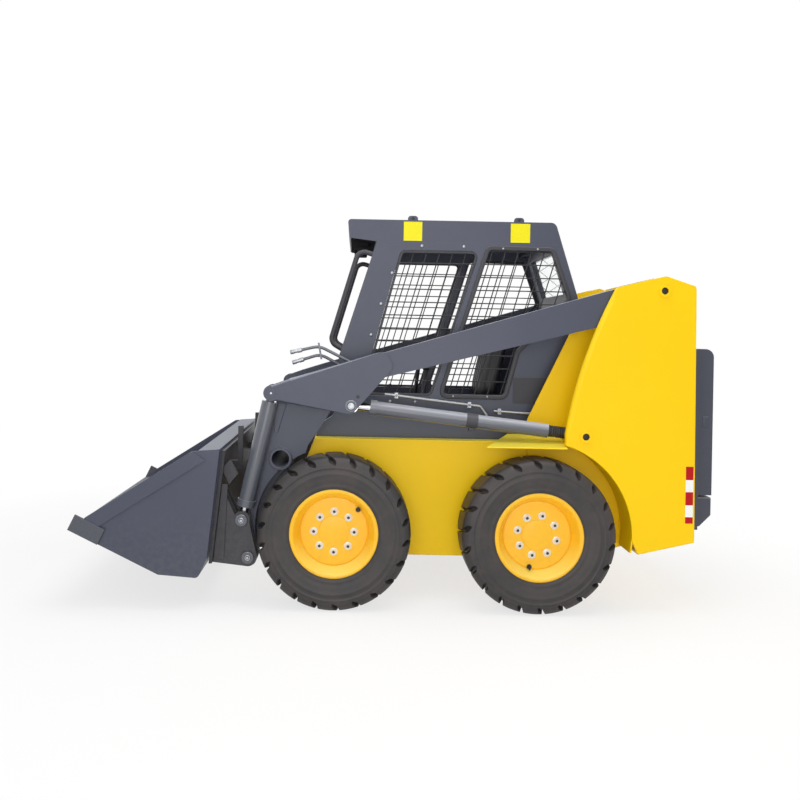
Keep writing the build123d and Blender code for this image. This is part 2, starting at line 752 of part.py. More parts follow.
def latch_lever():
    """Upright lever on a foot behind the hitch's face plate."""
    face_x = back_x(hitch_top_z) - hitch_face_plate / 2
    lever_y = (hitch_inner_y - latch_lever_inset - latch_lever_width, hitch_inner_y - latch_lever_inset)
    foot_z = hitch_top_z - latch_foot_drop
    rear_x = face_x - latch_lever_reach
    foot = block((rear_x, face_x + hitch_face_plate), lever_y, (foot_z, foot_z + latch_foot_height))
    lever_x = (rear_x, rear_x + latch_lever_thickness)
    return foot + block(lever_x, lever_y, (foot_z, hitch_top_z + latch_lever_height))


def lip_corners():
    """Cutting edge bar: tip, bevelled nose, top rear and bottom rear."""
    rear = along(bucket_tip, bucket_floor_bend, cutting_edge_length)
    front_top, rear_top = raised(bucket_tip, cutting_edge_thickness), raised(rear, cutting_edge_thickness)
    return [bucket_tip, along(front_top, rear_top, cutting_edge_bevel), rear_top, rear]


def raised(point, height):
    """A point lifted square to the bucket's front floor."""
    run = hypot(bucket_tip[0] - bucket_floor_bend[0], bucket_tip[1] - bucket_floor_bend[1])
    lift = ((bucket_floor_bend[1] - bucket_tip[1]) / run, (bucket_tip[0] - bucket_floor_bend[0]) / run)
    return (point[0] + lift[0] * height, point[1] + lift[1] * height)


def bucket_side():
    """Outline of a bucket side plate, resting on the cutting edge bar at the front."""
    tip, nose, top_rear, rear = lip_corners()
    return [rear, bucket_floor_bend, (*bucket_heel, bucket_heel_round), bucket_back_low, bucket_back_top,
            bucket_side_top_rear, bucket_side_top_front, nose, top_rear]


def bucket_shell():
    """Floor, heel and back as one bent plate, two sides, a top rail and edge strips."""
    start = along(bucket_tip, bucket_floor_bend, cutting_edge_length)
    outer = [start, bucket_floor_bend, bucket_heel, bucket_back_low, bucket_back_top]
    rounds = [bucket_floor_round, bucket_heel_round, bucket_heel_round]
    wrap = FilletPolyline(*[(x, 0, z) for x, z in outer], radius=rounds)
    inner = offset(wrap, bucket_plate, side=Side.RIGHT, closed=True)
    band = make_face(inner)
    shell = along_y(band, -bucket_half_width, bucket_half_width)
    for y_low in (-bucket_half_width, bucket_half_width - bucket_plate):
        shell += plate(bucket_side(), y_low, y_low + bucket_plate)
    rail_x = bucket_back_top[0] + bucket_rail_depth
    rail_low = bucket_back_top[1] - bucket_rail_height
    rail = [bucket_back_top, (rail_x, bucket_back_top[1] - bucket_rail_drop), (rail_x, rail_low)]
    rail += [(back_x(rail_low), rail_low)]
    shell += plate(rail, -bucket_half_width, bucket_half_width)
    strip = edge_strip() - side_cutter()
    return shell + strip + right_hand(strip)


def edge_strip():
    """Stiffening strip outside a side plate, along its sloping top edge."""
    rear, front = bucket_side_top_rear, bucket_side_top_front
    run = hypot(front[0] - rear[0], front[1] - rear[1])
    down = ((front[1] - rear[1]) / run * bucket_strip_width, (rear[0] - front[0]) / run * bucket_strip_width)
    back = along(rear, front, -bucket_strip_width / 2)
    corners = [rear, front, (front[0] + down[0], front[1] + down[1]), (back[0] + down[0], back[1] + down[1])]
    return plate(corners, bucket_half_width, bucket_half_width + bucket_strip_thickness)


def side_cutter():
    """Wear plate outside the front of the left side plate."""
    rear = along(bucket_tip, bucket_floor_bend, cutting_edge_length)
    corners = [bucket_tip, raised(bucket_tip, side_cutter_height), raised(rear, side_cutter_height), rear]
    return plate(corners, bucket_half_width, bucket_half_width + side_cutter_thickness)


def cutting_edge():
    """Thick bar along the lip, with a side cutter at each end."""
    edge = plate(lip_corners(), -bucket_half_width, bucket_half_width)
    cutter = side_cutter()
    return edge + cutter + right_hand(cutter)


def rear_door():
    corners = [(door_rear_x, door_low_z), (door_front_x, door_low_z), (door_front_x, door_top_z)]
    corners += [(door_rear_x, door_top_z, door_top_round)]
    door = plate(corners, -door_half_width, door_half_width)
    room = [(door_rear_x + door_wall, door_low_z + door_wall), (door_front_x, door_low_z + door_wall)]
    room += [(door_front_x, door_top_z - door_wall), (door_rear_x + door_wall, door_top_z - door_wall)]
    door -= plate(room, -door_half_width + door_wall, door_half_width - door_wall)
    middle_z = (door_low_z + door_top_z) / 2
    for index in range(door_slot_count):
        z = middle_z + (index - (door_slot_count - 1) / 2) * door_slot_pitch
        for side in (-1, 1):
            y = side * (door_slot_length + door_slot_gap) / 2
            door -= Pos(door_rear_x, y, z) * Box(4 * door_wall, door_slot_length, door_slot_width)
    for z in hinge_zs:
        low = z + running_gap
        middle = Pos(hinge_x, hinge_y, low + hinge_height / 2)
        arm_x = (hinge_x - hinge_barrel_radius / 2, hinge_x + hinge_barrel_radius / 2)
        knuckle = block(arm_x, (door_half_width - 1, hinge_y), (low, low + hinge_height))
        knuckle += middle * Cylinder(hinge_barrel_radius, hinge_height)
        knuckle -= middle * Cylinder(hinge_pin_radius + running_gap, hinge_height)
        door += right_hand(knuckle)
    return door


def rear_bumper():
    top = door_low_z - bumper_gap
    corners = [(door_rear_x, top), (frame_rear_x, top), (frame_rear_x, bumper_low_z)]
    corners += [(door_rear_x + bumper_chamfer, bumper_low_z), (door_rear_x, bumper_low_z + bumper_chamfer)]
    return plate(corners, -door_half_width, door_half_width)


def engine_block():
    """Engine, pumps and drive as one block, seated on the frame's floor."""
    wide = (-engine_half_width, engine_half_width)
    return block(engine_x, wide, (frame_bottom_z, engine_top_z)) & frame_room()


def engine_hood():
    rear = (frame_rear_x, engine_bay_top_z)
    corners = [rear, hood_front, (hood_front[0], hood_front[1] - hood_plate), (rear[0], rear[1] - hood_plate)]
    hood = plate(corners, -frame_half_width, frame_half_width)
    middle_x = (rear[0] + hood_front[0]) / 2
    first = middle_x - hood_slot_pitch * (hood_slot_count - 1) / 2
    for index in range(hood_slot_count):
        x = first + index * hood_slot_pitch
        for side in (-1, 1):
            y = side * (hood_slot_length / 2 + hood_slot_pitch)
            hood -= Pos(x, y, rear[1]) * Box(hood_slot_width, hood_slot_length, hood_plate * 8)
    return hood


def cab_side_outline():
    split_rear_x = cab_kink[0] + (cab_roof_rear_x - cab_kink[0]) * (cab_split_z - cab_kink[1]) / (
        cab_visor_tip[1] - cab_kink[1])
    sill = [(*corner, rounding) for corner, rounding in zip(cab_sill_front, cab_sill_rounds)]
    upper = [(pillar_front_top_x, cab_split_z), (split_rear_x, cab_split_z)]
    return [*sill, *upper, cab_kink, (cab_rear_low_x, frame_top_z)]


def window(corners, grow):
    """A window outline, widened by grow on every side."""
    return offset(section([(x, z, window_round) for x, z in corners]), grow)


def cab_side_left():
    side = plate(cab_side_outline(), cab_inside_y, cab_half_width)
    for corners in (window_front, window_rear):
        side -= along_y(window(corners, fit_gap), cab_inside_y, cab_half_width)
    return side


def mesh_panel(corners):
    """Wire mesh in a window: slanting uprights and level wires in a narrow border."""
    inner = window(corners, -mesh_border)
    box = inner.bounding_box()
    lean = mesh_slant * (box.max.Z - box.min.Z)
    half = mesh_wire / 2
    wires = []
    count = int((box.max.X - box.min.X + lean) / mesh_pitch)
    for index in range(count + 1):
        x = box.min.X + index * mesh_pitch
        foot = [(x - half, box.min.Z), (x + half, box.min.Z)]
        head = [(x + half - lean, box.max.Z), (x - half - lean, box.max.Z)]
        wires.append(section([*foot, *head]))
    for index in range(int((box.max.Z - box.min.Z) / mesh_pitch) + 1):
        z = box.min.Z + index * mesh_pitch
        low = [(box.min.X, z - half), (box.max.X, z - half)]
        high = [(box.max.X, z + half), (box.min.X, z + half)]
        wires.append(section([*low, *high]))
    outer_y = cab_half_width - mesh_set_back
    holes = inner - wires
    panel = along_y(window(corners, 0), outer_y - mesh_thickness, outer_y)
    return panel - along_y(holes, outer_y - mesh_thickness, outer_y)


def grille_left():
    return Compound(children=[mesh_panel(window_front), mesh_panel(window_rear)])


def cab_roof():
    split_rear_x = cab_side_outline()[-3][0]
    roof_top = cab_visor_tip[1]
    outline = [(split_rear_x, cab_split_z), (cab_roof_rear_x, roof_top, cab_roof_round)]
    outline += [(*cab_visor_tip, cab_roof_round / 2), cab_visor_low, (pillar_front_top_x, cab_split_z)]
    roof = plate(outline, -cab_half_width, cab_half_width)
    roof -= block((cab_roof_rear_x + cab_wall, pillar_front_top_x - cab_wall), (-cab_inside_y, cab_inside_y),
                  (cab_split_z - cab_wall, roof_top - cab_roof_plate))
    for y in visor_lamp_ys:
        roof -= visor_lamp(y, fit_gap)
    for x in lifting_eye_xs:
        eye = lifting_eye(x)
        roof += eye
        roof += right_hand(eye)
    return roof


def lifting_eye(x):
    """Small plate with a hole, standing on the roof's edge."""
    roof_top = cab_visor_tip[1]
    half = lifting_eye_width / 2
    corners = [(x - half, roof_top - 1), (x + half, roof_top - 1)]
    corners += [(x + half, roof_top + lifting_eye_height, half * 0.6)]
    corners += [(x - half, roof_top + lifting_eye_height, half * 0.6)]
    low = lifting_eye_y - lifting_eye_plate / 2
    tab = plate(corners, low, low + lifting_eye_plate)
    middle = (x, roof_top + lifting_eye_height / 2)
    return tab - pin(middle, lifting_eye_hole_radius, low, low + lifting_eye_plate)


def visor_lamp(y, grow):
    """Lamp body set into the front of the visor."""
    mid_z = (cab_visor_tip[1] + cab_visor_low[1]) / 2
    half_width, half_height = visor_lamp_width / 2 + grow, visor_lamp_height / 2 + grow
    front_x = cab_visor_low[0]
    mouth = visor_lamp_mouth if grow else 0
    return block((front_x - visor_lamp_depth - grow, front_x + mouth), (y - half_width, y + half_width),
                 (mid_z - half_height, mid_z + half_height))


def lamps():
    pieces = [visor_lamp(y, 0) for y in visor_lamp_ys]
    rear_line = [(tower_rear_top[1], tower_rear_top[0]), (tower_rear_low[1], tower_rear_low[0])]
    half = tail_lamp_height / 2
    low_x, high_x = height_on(rear_line, tail_lamp_z - half), height_on(rear_line, tail_lamp_z + half)
    corners = [(low_x, tail_lamp_z - half), (high_x, tail_lamp_z + half)]
    corners += [(high_x - tail_lamp_depth, tail_lamp_z + half), (low_x - tail_lamp_depth, tail_lamp_z - half)]
    mid_y = (tower_inner_y + tower_inside_y) / 2
    tail = plate(corners, mid_y - tail_lamp_width / 2, mid_y + tail_lamp_width / 2)
    return Compound(children=[*pieces, tail, right_hand(tail)])


def cab_rear_panel():
    outline = cab_side_outline()
    (top_x, top_z), kink, foot = outline[-3:]
    corners = [(top_x, top_z), kink, foot, (foot[0] + cab_wall, foot[1]), (kink[0] + cab_wall, kink[1])]
    corners += [(top_x + cab_wall, top_z)]
    panel = plate(corners, -cab_inside_y, cab_inside_y)
    hole_x = (kink[0] - cab_wall, top_x + 3 * cab_wall)
    return panel - block(hole_x, (-rear_window_half_width, rear_window_half_width), rear_window)


def cab_rear_glass():
    """Flat pane in the slanting upper part of the rear wall."""
    outline = cab_side_outline()
    slope = [(outline[-2][1], outline[-2][0]), (outline[-3][1], outline[-3][0])]
    corners = []
    for z, shifts in ((rear_window[0], (-1, 1)), (rear_window[1], (1, -1))):
        for shift in shifts:
            corners.append((height_on(slope, z) + cab_wall / 2 + shift * glass_thickness / 2, z))
    return plate(corners, -rear_window_half_width, rear_window_half_width)


def cab_floor():
    """Foot floor, riser and seat deck as one bent plate between the frame's side walls."""
    front_x = frame_toe[2][0] - floor_toe_gap
    rear_x = cab_rear_low_x + cab_wall
    deck = frame_top_z
    corners = [(front_x, floor_z), (floor_riser_x + floor_plate, floor_z), (floor_riser_x + floor_plate, deck)]
    corners += [(rear_x, deck), (rear_x, deck - floor_plate), (floor_riser_x, deck - floor_plate)]
    corners += [(floor_riser_x, floor_z - floor_plate), (front_x, floor_z - floor_plate)]
    floor = plate(corners, -frame_inside_y, frame_inside_y)
    for side in (-1, 1):
        ledge = sorted((side * frame_opening_half_width, side * frame_inside_y))
        floor -= block((rear_x, frame_toe_top_x), ledge, (deck - frame_plate, deck))
    return floor


def seat_frame():
    wide = (-seat_base_half_width, seat_base_half_width)
    return block(seat_base_x, wide, (frame_top_z, frame_top_z + seat_base_height))


def seat_cushions():
    seat_z = frame_top_z + seat_base_height
    top = seat_z + seat_cushion_height
    wide = (-seat_cushion_half_width, seat_cushion_half_width)
    rear_x, front_x = seat_cushion_x
    corners = [(rear_x, seat_z), (front_x, seat_z), (front_x, top, seat_cushion_round), (rear_x, top)]
    cushion = plate(corners, *wide)
    lean = seat_back_height * sin(radians(seat_back_lean))
    back = [(rear_x, top + fit_gap), (rear_x + seat_back_thickness, top + fit_gap)]
    back += [(rear_x + seat_back_thickness - lean, top + seat_back_height, seat_cushion_round)]
    back += [(rear_x - lean, top + seat_back_height, seat_cushion_round)]
    return Compound(children=[cushion, plate(back, *wide)])


def control_levers():
    """A console beside the seat on each side, with a stick and its knob."""
    top = frame_top_z + console_height
    console = block(console_x, console_y, (frame_top_z, top))
    step_x = (floor_riser_x + floor_plate, console_x[1])
    console -= block(step_x, console_y, (frame_top_z, frame_top_z + console_step))
    x, y = console_x[1] - lever_inset, sum(console_y) / 2
    tip = (x + lever_tilt[0], y + lever_tilt[1], top + lever_height)
    stick = bar((x, y, top), tip, lever_radius)
    return both_sides(console + stick + Pos(*tip) * Sphere(lever_knob_radius))


def grab_rails():
    y = cab_half_width - cab_wall / 2
    rail = bent_bar(at_y(rail_points, y), rail_radius, rail_bend)
    rail -= plate(cab_side_outline(), cab_inside_y, cab_half_width)
    rail = max(rail.solids(), key=lambda solid: solid.bounding_box().max.X)
    return both_sides(rail)


def hydraulic_lines():
    """Hard pipes along the cab's side, each on two clips."""
    y = cab_half_width + pipe_clip_thickness / 2
    left = []
    for points in (cab_pipe_front, cab_pipe_rear):
        line = bent_bar(at_y(points, y), pipe_radius, pipe_bend)
        for share in pipe_clip_shares:
            x = points[0][0] + (points[1][0] - points[0][0]) * share
            z = points[0][1] + (points[1][1] - points[0][1]) * share
            half_x, half_z = pipe_clip_width / 2, pipe_clip_height / 2
            line += block((x - half_x, x + half_x), (cab_half_width, cab_half_width + pipe_clip_thickness),
                          (z - half_z, z + half_z))
        left.append(line)
    return Compound(children=[*left, *[right_hand(line) for line in left]])


def all_nodes():
    left_tower = tower_left()
    lugs = door_hinge_lugs()
    left_arm = arm_left()
    side, grille = cab_side_left(), grille_left()
    tyre_shape, wheel_shape = tyre(), wheel()
    nodes = {
        "main_frame": main_frame(),
        "axle_housings": axle_housings(),
        "tower_left": left_tower,
        "tower_right": right_hand(left_tower + lugs),
        "engine_block": engine_block(),
        "engine_hood": engine_hood(),
        "rear_bumper": rear_bumper(),
        "rear_door": rear_door(),
        "lamps": lamps(),
        "cab_side_left": side,
        "cab_side_right": right_hand(side),
        "grille_left": grille,
        "grille_right": right_hand(grille),
        "cab_roof": cab_roof(),
        "cab_rear_panel": cab_rear_panel(),
        "cab_rear_glass": cab_rear_glass(),
        "cab_floor": cab_floor(),
        "seat_frame": seat_frame(),
        "seat_cushions": seat_cushions(),
        "control_levers": control_levers(),
        "grab_rails": grab_rails(),
        "hydraulic_lines": hydraulic_lines(),
        "arm_left": left_arm,
        "arm_right": right_hand(left_arm),
        "arm_cross_tube": arm_cross_tube(),
        "aux_lines": aux_lines(),
        "hitch_frame": hitch_frame(),
        "bucket_shell": bucket_shell(),
        "cutting_edge": cutting_edge(),
    }
    for name, shape in (("lift_barrel", lift_barrel()), ("lift_rod", lift_rod()),
                        ("tilt_barrel", tilt_barrel()), ("tilt_rod", tilt_rod())):
        nodes[name + "_left"] = shape
        nodes[name + "_right"] = right_hand(shape)
    for axle, x in (("front", wheelbase), ("rear", 0)):
        for part_name, shape in (("tyre", tyre_shape), ("wheel", wheel_shape)):
            left = Pos(x, track_half, axle_z) * shape
            nodes[f"{part_name}_{axle}_left"] = left
            nodes[f"{part_name}_{axle}_right"] = right_hand(left)
    return nodes


nodes = all_nodes()
boxes = [shape.bounding_box() for shape in nodes.values()]
middle_x = (min(box.min.X for box in boxes) + max(box.max.X for box in boxes)) / 2

os.makedirs("parts", exist_ok=True)
for name, shape in nodes.items():
    placed = [Pos(-middle_x, 0, 0) * solid for solid in shape.solids()]
    export_step(Compound(placed), f"parts/{name}.step")
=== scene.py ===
import bmesh
import bpy
import json
import math
import numpy as np
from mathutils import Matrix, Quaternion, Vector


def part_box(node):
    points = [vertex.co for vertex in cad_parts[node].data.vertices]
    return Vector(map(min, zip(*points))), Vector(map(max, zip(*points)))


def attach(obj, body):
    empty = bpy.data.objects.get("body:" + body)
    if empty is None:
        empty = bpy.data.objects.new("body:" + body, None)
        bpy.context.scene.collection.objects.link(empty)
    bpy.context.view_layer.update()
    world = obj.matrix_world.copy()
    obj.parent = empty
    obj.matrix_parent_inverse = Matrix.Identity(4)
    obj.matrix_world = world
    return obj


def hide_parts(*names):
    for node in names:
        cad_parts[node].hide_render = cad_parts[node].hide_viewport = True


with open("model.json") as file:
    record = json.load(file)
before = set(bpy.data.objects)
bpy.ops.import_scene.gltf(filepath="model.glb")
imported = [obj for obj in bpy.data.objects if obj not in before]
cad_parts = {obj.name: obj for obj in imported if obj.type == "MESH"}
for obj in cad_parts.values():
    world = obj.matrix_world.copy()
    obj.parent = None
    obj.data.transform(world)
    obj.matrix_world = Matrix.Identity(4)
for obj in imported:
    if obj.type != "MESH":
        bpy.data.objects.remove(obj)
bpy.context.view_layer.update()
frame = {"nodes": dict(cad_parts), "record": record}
scene = bpy.context.scene
bodyOfNode = {node: body for body, nodes in frame["record"]["behaviour"]["bodies"].items() for node in nodes}


def middleOf(node):
    # Middle of a CAD node's box
    return np.mean(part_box(node), 0)


rearAxle, frontAxle = middleOf("wheel_rear_left"), middleOf("wheel_front_left")
print("frame loaded", len(frame["nodes"]), "nodes")


# Colours, shader nodes and materials

def linear(hexColour):
    # sRGB hex to linear: the usual two-part curve
    srgb = np.array([int(hexColour[i:i + 2], 16) for i in (1, 3, 5)]) / 255
    flat = np.where(srgb <= 0.04045, srgb / 12.92, ((srgb + 0.055) / 1.055) ** 2.4)
    return (*flat.tolist(), 1.0)


def addNode(tree, kind, settings=None, links=None):
    # Settings go to an input socket where one has that name or number, or else to the node itself
    node = tree.nodes.new("ShaderNode" + kind)
    for key, value in (settings or {}).items():
        if isinstance(key, int) or key in node.inputs:
            node.inputs[key].default_value = value
        else:
            setattr(node, key, value)
    for key, source in (links or {}).items():
        tree.links.new(source, node.inputs[key])
    return node


def newMaterial(name, shaderSettings):
    # A Principled material with Object coordinates ready to use
    material = bpy.data.materials.new(name)
    material.use_nodes = True
    tree = material.node_tree
    tree.nodes.clear()
    output = addNode(tree, "OutputMaterial")
    shader = addNode(tree, "BsdfPrincipled", shaderSettings)
    tree.links.new(shader.outputs["BSDF"], output.inputs["Surface"])
    where = addNode(tree, "TexCoord").outputs["Object"]
    return material, tree, shader, where


def perMetre(sizeMm):
    # Noise scale whose features are about this many millimetres
    return 1000 / sizeMm


def finish(tree, shader, look, toneBy, glossBy, heightBy=None, bump=None):
    # Colour mixed by one pattern, roughness spread by another, and a bump of (strength, metres) where there is one
    tone = addNode(tree, "Mix",
                   {"data_type": "RGBA", 6: linear(look["colour"]), 7: linear(look["second"])}, {0: toneBy})
    tree.links.new(tone.outputs[2], shader.inputs["Base Color"])
    gloss = addNode(tree, "MapRange", {"To Min": look["gloss"][0], "To Max": look["gloss"][1]}, {"Value": glossBy})
    tree.links.new(gloss.outputs["Result"], shader.inputs["Roughness"])
    if heightBy is not None:
        relief = addNode(tree, "Bump", {"Strength": bump[0], "Distance": bump[1]}, {"Height": heightBy})
        tree.links.new(relief.outputs["Normal"], shader.inputs["Normal"])
    return tone


def enamel(name, look):
    # Sprayed enamel on steel: orange peel breaks up the gloss, dust lies low down, faces that look up carry a painted
    # highlight
    material, tree, shader, where = newMaterial(name, {
        "IOR": 1.5, "Coat Weight": look["coat"], "Coat Roughness": 0.12, "Specular IOR Level": look["shine"]})
    patches = addNode(tree, "TexNoise", {"Scale": perMetre(look["patchMm"]), "Detail": 4.0}, {"Vector": where})
    specks = addNode(tree, "TexNoise", {"Scale": perMetre(26), "Detail": 8.0, "Roughness": 0.7}, {"Vector": where})
    peel = addNode(tree, "TexNoise", {"Scale": perMetre(look["peelMm"]), "Detail": 2.0}, {"Vector": where})
    tone = finish(tree, shader, look, patches.outputs["Fac"], specks.outputs["Fac"], peel.outputs["Fac"],
                  (look["peel"], 0.001))
    height = addNode(tree, "SeparateXYZ", None, {0: where})
    low = addNode(tree, "MapRange", {"From Min": look["dustTop"], "From Max": 0.05, "To Max": look["dust"]},
                  {"Value": height.outputs["Z"]})
    speckMask = addNode(tree, "MapRange", {"From Min": 0.42, "From Max": 0.72}, {"Value": specks.outputs["Fac"]})
    dust = addNode(tree, "Math", {"operation": "MULTIPLY"},
                   {0: low.outputs["Result"], 1: speckMask.outputs["Result"]})
    dusty = addNode(tree, "Mix", {"data_type": "RGBA", 7: linear(look["dustColour"])},
                    {0: dust.outputs[0], 6: tone.outputs[2]})
    # Painted highlight: the more a face looks up, the more its colour goes towards a lighter colour that stands in for
    # light from above
    normal = addNode(tree, "NewGeometry").outputs["Normal"]
    facing = addNode(tree, "SeparateXYZ", None, {0: normal})
    paintedHighlightShare = addNode(tree, "MapRange", {"From Min": 0.1, "From Max": 0.9, "To Max": look["top"]},
                     {"Value": facing.outputs["Z"]})
    withPaintedHighlight = addNode(tree, "Mix", {"data_type": "RGBA", 7: linear(look["topColour"])},
                       {0: paintedHighlightShare.outputs["Result"], 6: dusty.outputs[2]})
    tree.links.new(withPaintedHighlight.outputs[2], shader.inputs["Base Color"])
    return material


def rubber(name, look):
    # Moulded tyre rubber: soft sheen, a fine mould grain and grey-brown dust in patches
    material, tree, shader, where = newMaterial(name, {"IOR": 1.52})
    patches = addNode(tree, "TexNoise",
                      {"Scale": perMetre(look["patchMm"]), "Detail": 6.0, "Roughness": 0.65}, {"Vector": where})
    mask = addNode(tree, "MapRange", {"From Min": 0.38, "From Max": 0.75}, {"Value": patches.outputs["Fac"]})
    grain = addNode(tree, "TexNoise", {"Scale": perMetre(look["grainMm"]), "Detail": 3.0}, {"Vector": where})
    finish(tree, shader, look, mask.outputs["Result"], patches.outputs["Fac"], grain.outputs["Fac"], (0.25, 0.001))
    return material


def bareMetal(name, look):
    # Bare or plated metal: turning or drawing lines along one axis, and a cloudy roughness
    material, tree, shader, where = newMaterial(name, {"Metallic": look["metallic"]})
    stretch = addNode(tree, "Mapping", {"Scale": look.get("stretch", (1, 1, 1))}, {"Vector": where})
    lines = addNode(tree, "TexNoise", {"Scale": perMetre(look["lineMm"]), "Detail": 3.0},
                    {"Vector": stretch.outputs["Vector"]}).outputs["Fac"]
    finish(tree, shader, look, lines, lines, lines, (look["bump"], 0.0005))
    return material


def moulded(name, look):
    # Moulded plastic or embossed vinyl: cells of a leather-like grain with a slight sheen
    material, tree, shader, where = newMaterial(name, {"IOR": 1.5, "Specular IOR Level": look["shine"]})
    cells = addNode(tree, "TexVoronoi", {"Scale": perMetre(look["grainMm"])}, {"Vector": where})
    cloud = addNode(tree, "TexNoise", {"Scale": perMetre(90), "Detail": 5.0}, {"Vector": where}).outputs["Fac"]
    finish(tree, shader, look, cloud, cloud, cells.outputs["Distance"], (look["bump"], 0.0006))
    return material


def film(name, look):
    # Printed or reflective film: even colour with a fine bead pattern under a smooth face
    material, tree, shader, where = newMaterial(name, {"IOR": 1.48, "Coat Weight": 0.05, "Specular IOR Level": 0.2})
    beads = addNode(tree, "TexVoronoi", {"Scale": perMetre(look["beadMm"])}, {"Vector": where})
    finish(tree, shader, look, beads.outputs["Distance"], beads.outputs["Distance"])
    return material


def clearPane(name, look):
    # Clear pane or lens: tinted, smooth, with a light haze of dust
    material, tree, shader, where = newMaterial(name, {"IOR": look["ior"], "Transmission Weight": look["clear"]})
    haze = addNode(tree, "TexNoise", {"Scale": perMetre(60), "Detail": 6.0}, {"Vector": where})
    finish(tree, shader, look, haze.outputs["Fac"], haze.outputs["Fac"])
    return material


# In each enamel the last colour and its share are a painted highlight for faces that look up, not a colour of the paint
yellowEnamel = enamel("yellowEnamelGloss", {
    "colour": "#FFD500", "second": "#FDCC00", "patchMm": 420, "gloss": (0.34, 0.46), "coat": 0.04, "shine": 0.22,
    "peelMm": 9, "peel": 0.10, "dustColour": "#B99A4A", "dust": 0.15, "dustTop": 0.45,
    "topColour": "#FFF25A", "top": 0.7})
slateLook = {
    "colour": "#434758", "second": "#3D4151", "patchMm": 260, "gloss": (0.36, 0.52), "coat": 0.10, "shine": 0.45,
    "peelMm": 8, "peel": 0.16, "dustColour": "#77736C", "dust": 0.30, "dustTop": 0.60,
    "topColour": "#A4A8B6", "top": 0.7}
slateEnamel = enamel("slateEnamelSemiGloss", slateLook)
# The bucket's copy is rougher and carries less of the painted highlight on faces that look up
bucketEnamel = enamel("slateEnamelScuffed", {**slateLook, "top": 0.25, "gloss": (0.42, 0.58)})
charcoalEnamel = enamel("charcoalEnamelSatin", {
    "colour": "#3F3E44", "second": "#37363B", "patchMm": 300, "gloss": (0.42, 0.58), "coat": 0.04, "shine": 0.4,
    "peelMm": 8, "peel": 0.16, "dustColour": "#6E6860", "dust": 0.30, "dustTop": 1.10,
    "topColour": "#7C7C82", "top": 0.5})
rimEnamel = enamel("amberEnamelRim", {
    "colour": "#FFC926", "second": "#FCBC1E", "patchMm": 160, "gloss": (0.28, 0.42), "coat": 0.15, "shine": 0.35,
    "peelMm": 8, "peel": 0.12, "dustColour": "#B98F45", "dust": 0.35, "dustTop": 0.60,
    "topColour": "#FFE873", "top": 0.9})
# The barrels carry the strongest painted highlight, a light band along their upper side
barrelEnamel = enamel("greyEnamelGlossBarrel", {
    "colour": "#5D6069", "second": "#565962", "patchMm": 200, "gloss": (0.20, 0.30), "coat": 0.3, "shine": 0.5,
    "peelMm": 10, "peel": 0.08, "dustColour": "#77736C", "dust": 0.15, "dustTop": 0.60,
    "topColour": "#C6C8D2", "top": 0.95})
blackEnamel = enamel("blackEnamelWire", {
    "colour": "#2C2C2F", "second": "#353538", "patchMm": 120, "gloss": (0.40, 0.55), "coat": 0.05, "shine": 0.4,
    "peelMm": 6, "peel": 0.10, "dustColour": "#6E6860", "dust": 0.1, "dustTop": 0.4,
    "topColour": "#55555A", "top": 0.3})
tyreRubber = rubber("tyreRubberMoulded", {
    "colour": "#282626", "second": "#413937", "patchMm": 150, "grainMm": 5, "gloss": (0.42, 0.62)})
sealRubber = rubber("sealRubberExtruded", {
    "colour": "#1E1E1F", "second": "#2E2D2C", "patchMm": 60, "grainMm": 4, "gloss": (0.45, 0.65)})
chromeRod = bareMetal("chromedRodGround", {
    "colour": "#D9DADD", "second": "#C4C6CB", "metallic": 1.0, "lineMm": 6, "gloss": (0.08, 0.16), "bump": 0.02})
zincSteel = bareMetal("zincPlatedSteel", {
    "colour": "#B9BBBF", "second": "#94969B", "metallic": 0.9, "lineMm": 9, "gloss": (0.28, 0.45), "bump": 0.05})
pipeSteel = bareMetal("greyPaintedSteelPipe", {
    "colour": "#6E7076", "second": "#5C5E64", "metallic": 0.45, "lineMm": 12, "gloss": (0.26, 0.40), "bump": 0.04})
wornSteel = bareMetal("wornEdgeSteel", {
    "colour": "#5B5D66", "second": "#484A52", "metallic": 0.35, "stretch": (1, 0.08, 1), "lineMm": 10,
    "gloss": (0.38, 0.60), "bump": 0.12})
nutZinc = bareMetal("brightZincNut", {
    "colour": "#F4F2EC", "second": "#DCDAD4", "metallic": 0.3, "lineMm": 9, "gloss": (0.25, 0.4), "bump": 0.04})
castIron = bareMetal("paintedCastIron", {
    "colour": "#4A4B4E", "second": "#38393B", "metallic": 0.1, "lineMm": 5, "gloss": (0.55, 0.75), "bump": 0.3})
seatVinyl = moulded("seatVinylEmbossed", {
    "colour": "#2A2A2D", "second": "#343437", "grainMm": 3, "shine": 0.5, "gloss": (0.42, 0.55), "bump": 0.35})
blackPlastic = moulded("blackPlasticMoulded", {
    "colour": "#26262A", "second": "#303034", "grainMm": 2, "shine": 0.4, "gloss": (0.42, 0.55), "bump": 0.2})
mattLiner = moulded("mattBlackFoamLiner", {
    "colour": "#1E1D1F", "second": "#2A282A", "grainMm": 4, "shine": 0.03, "gloss": (0.85, 0.95), "bump": 0.4})
decalFilm = film("yellowVinylFilm", {"colour": "#F6EA1A", "second": "#EEE010", "beadMm": 6, "gloss": (0.3, 0.42)})
redFilm = film("redReflectiveFilm", {"colour": "#B40C14", "second": "#BE141A", "beadMm": 5, "gloss": (0.3, 0.42)})
whiteFilm = film("whiteReflectiveFilm", {"colour": "#FBFBF8", "second": "#F2F2F0", "beadMm": 5, "gloss": (0.3, 0.42)})
lampLens = clearPane("clearLensMoulded", {
    "colour": "#F4F2EC", "second": "#E2E0DA", "ior": 1.49, "clear": 0.55, "gloss": (0.05, 0.2)})
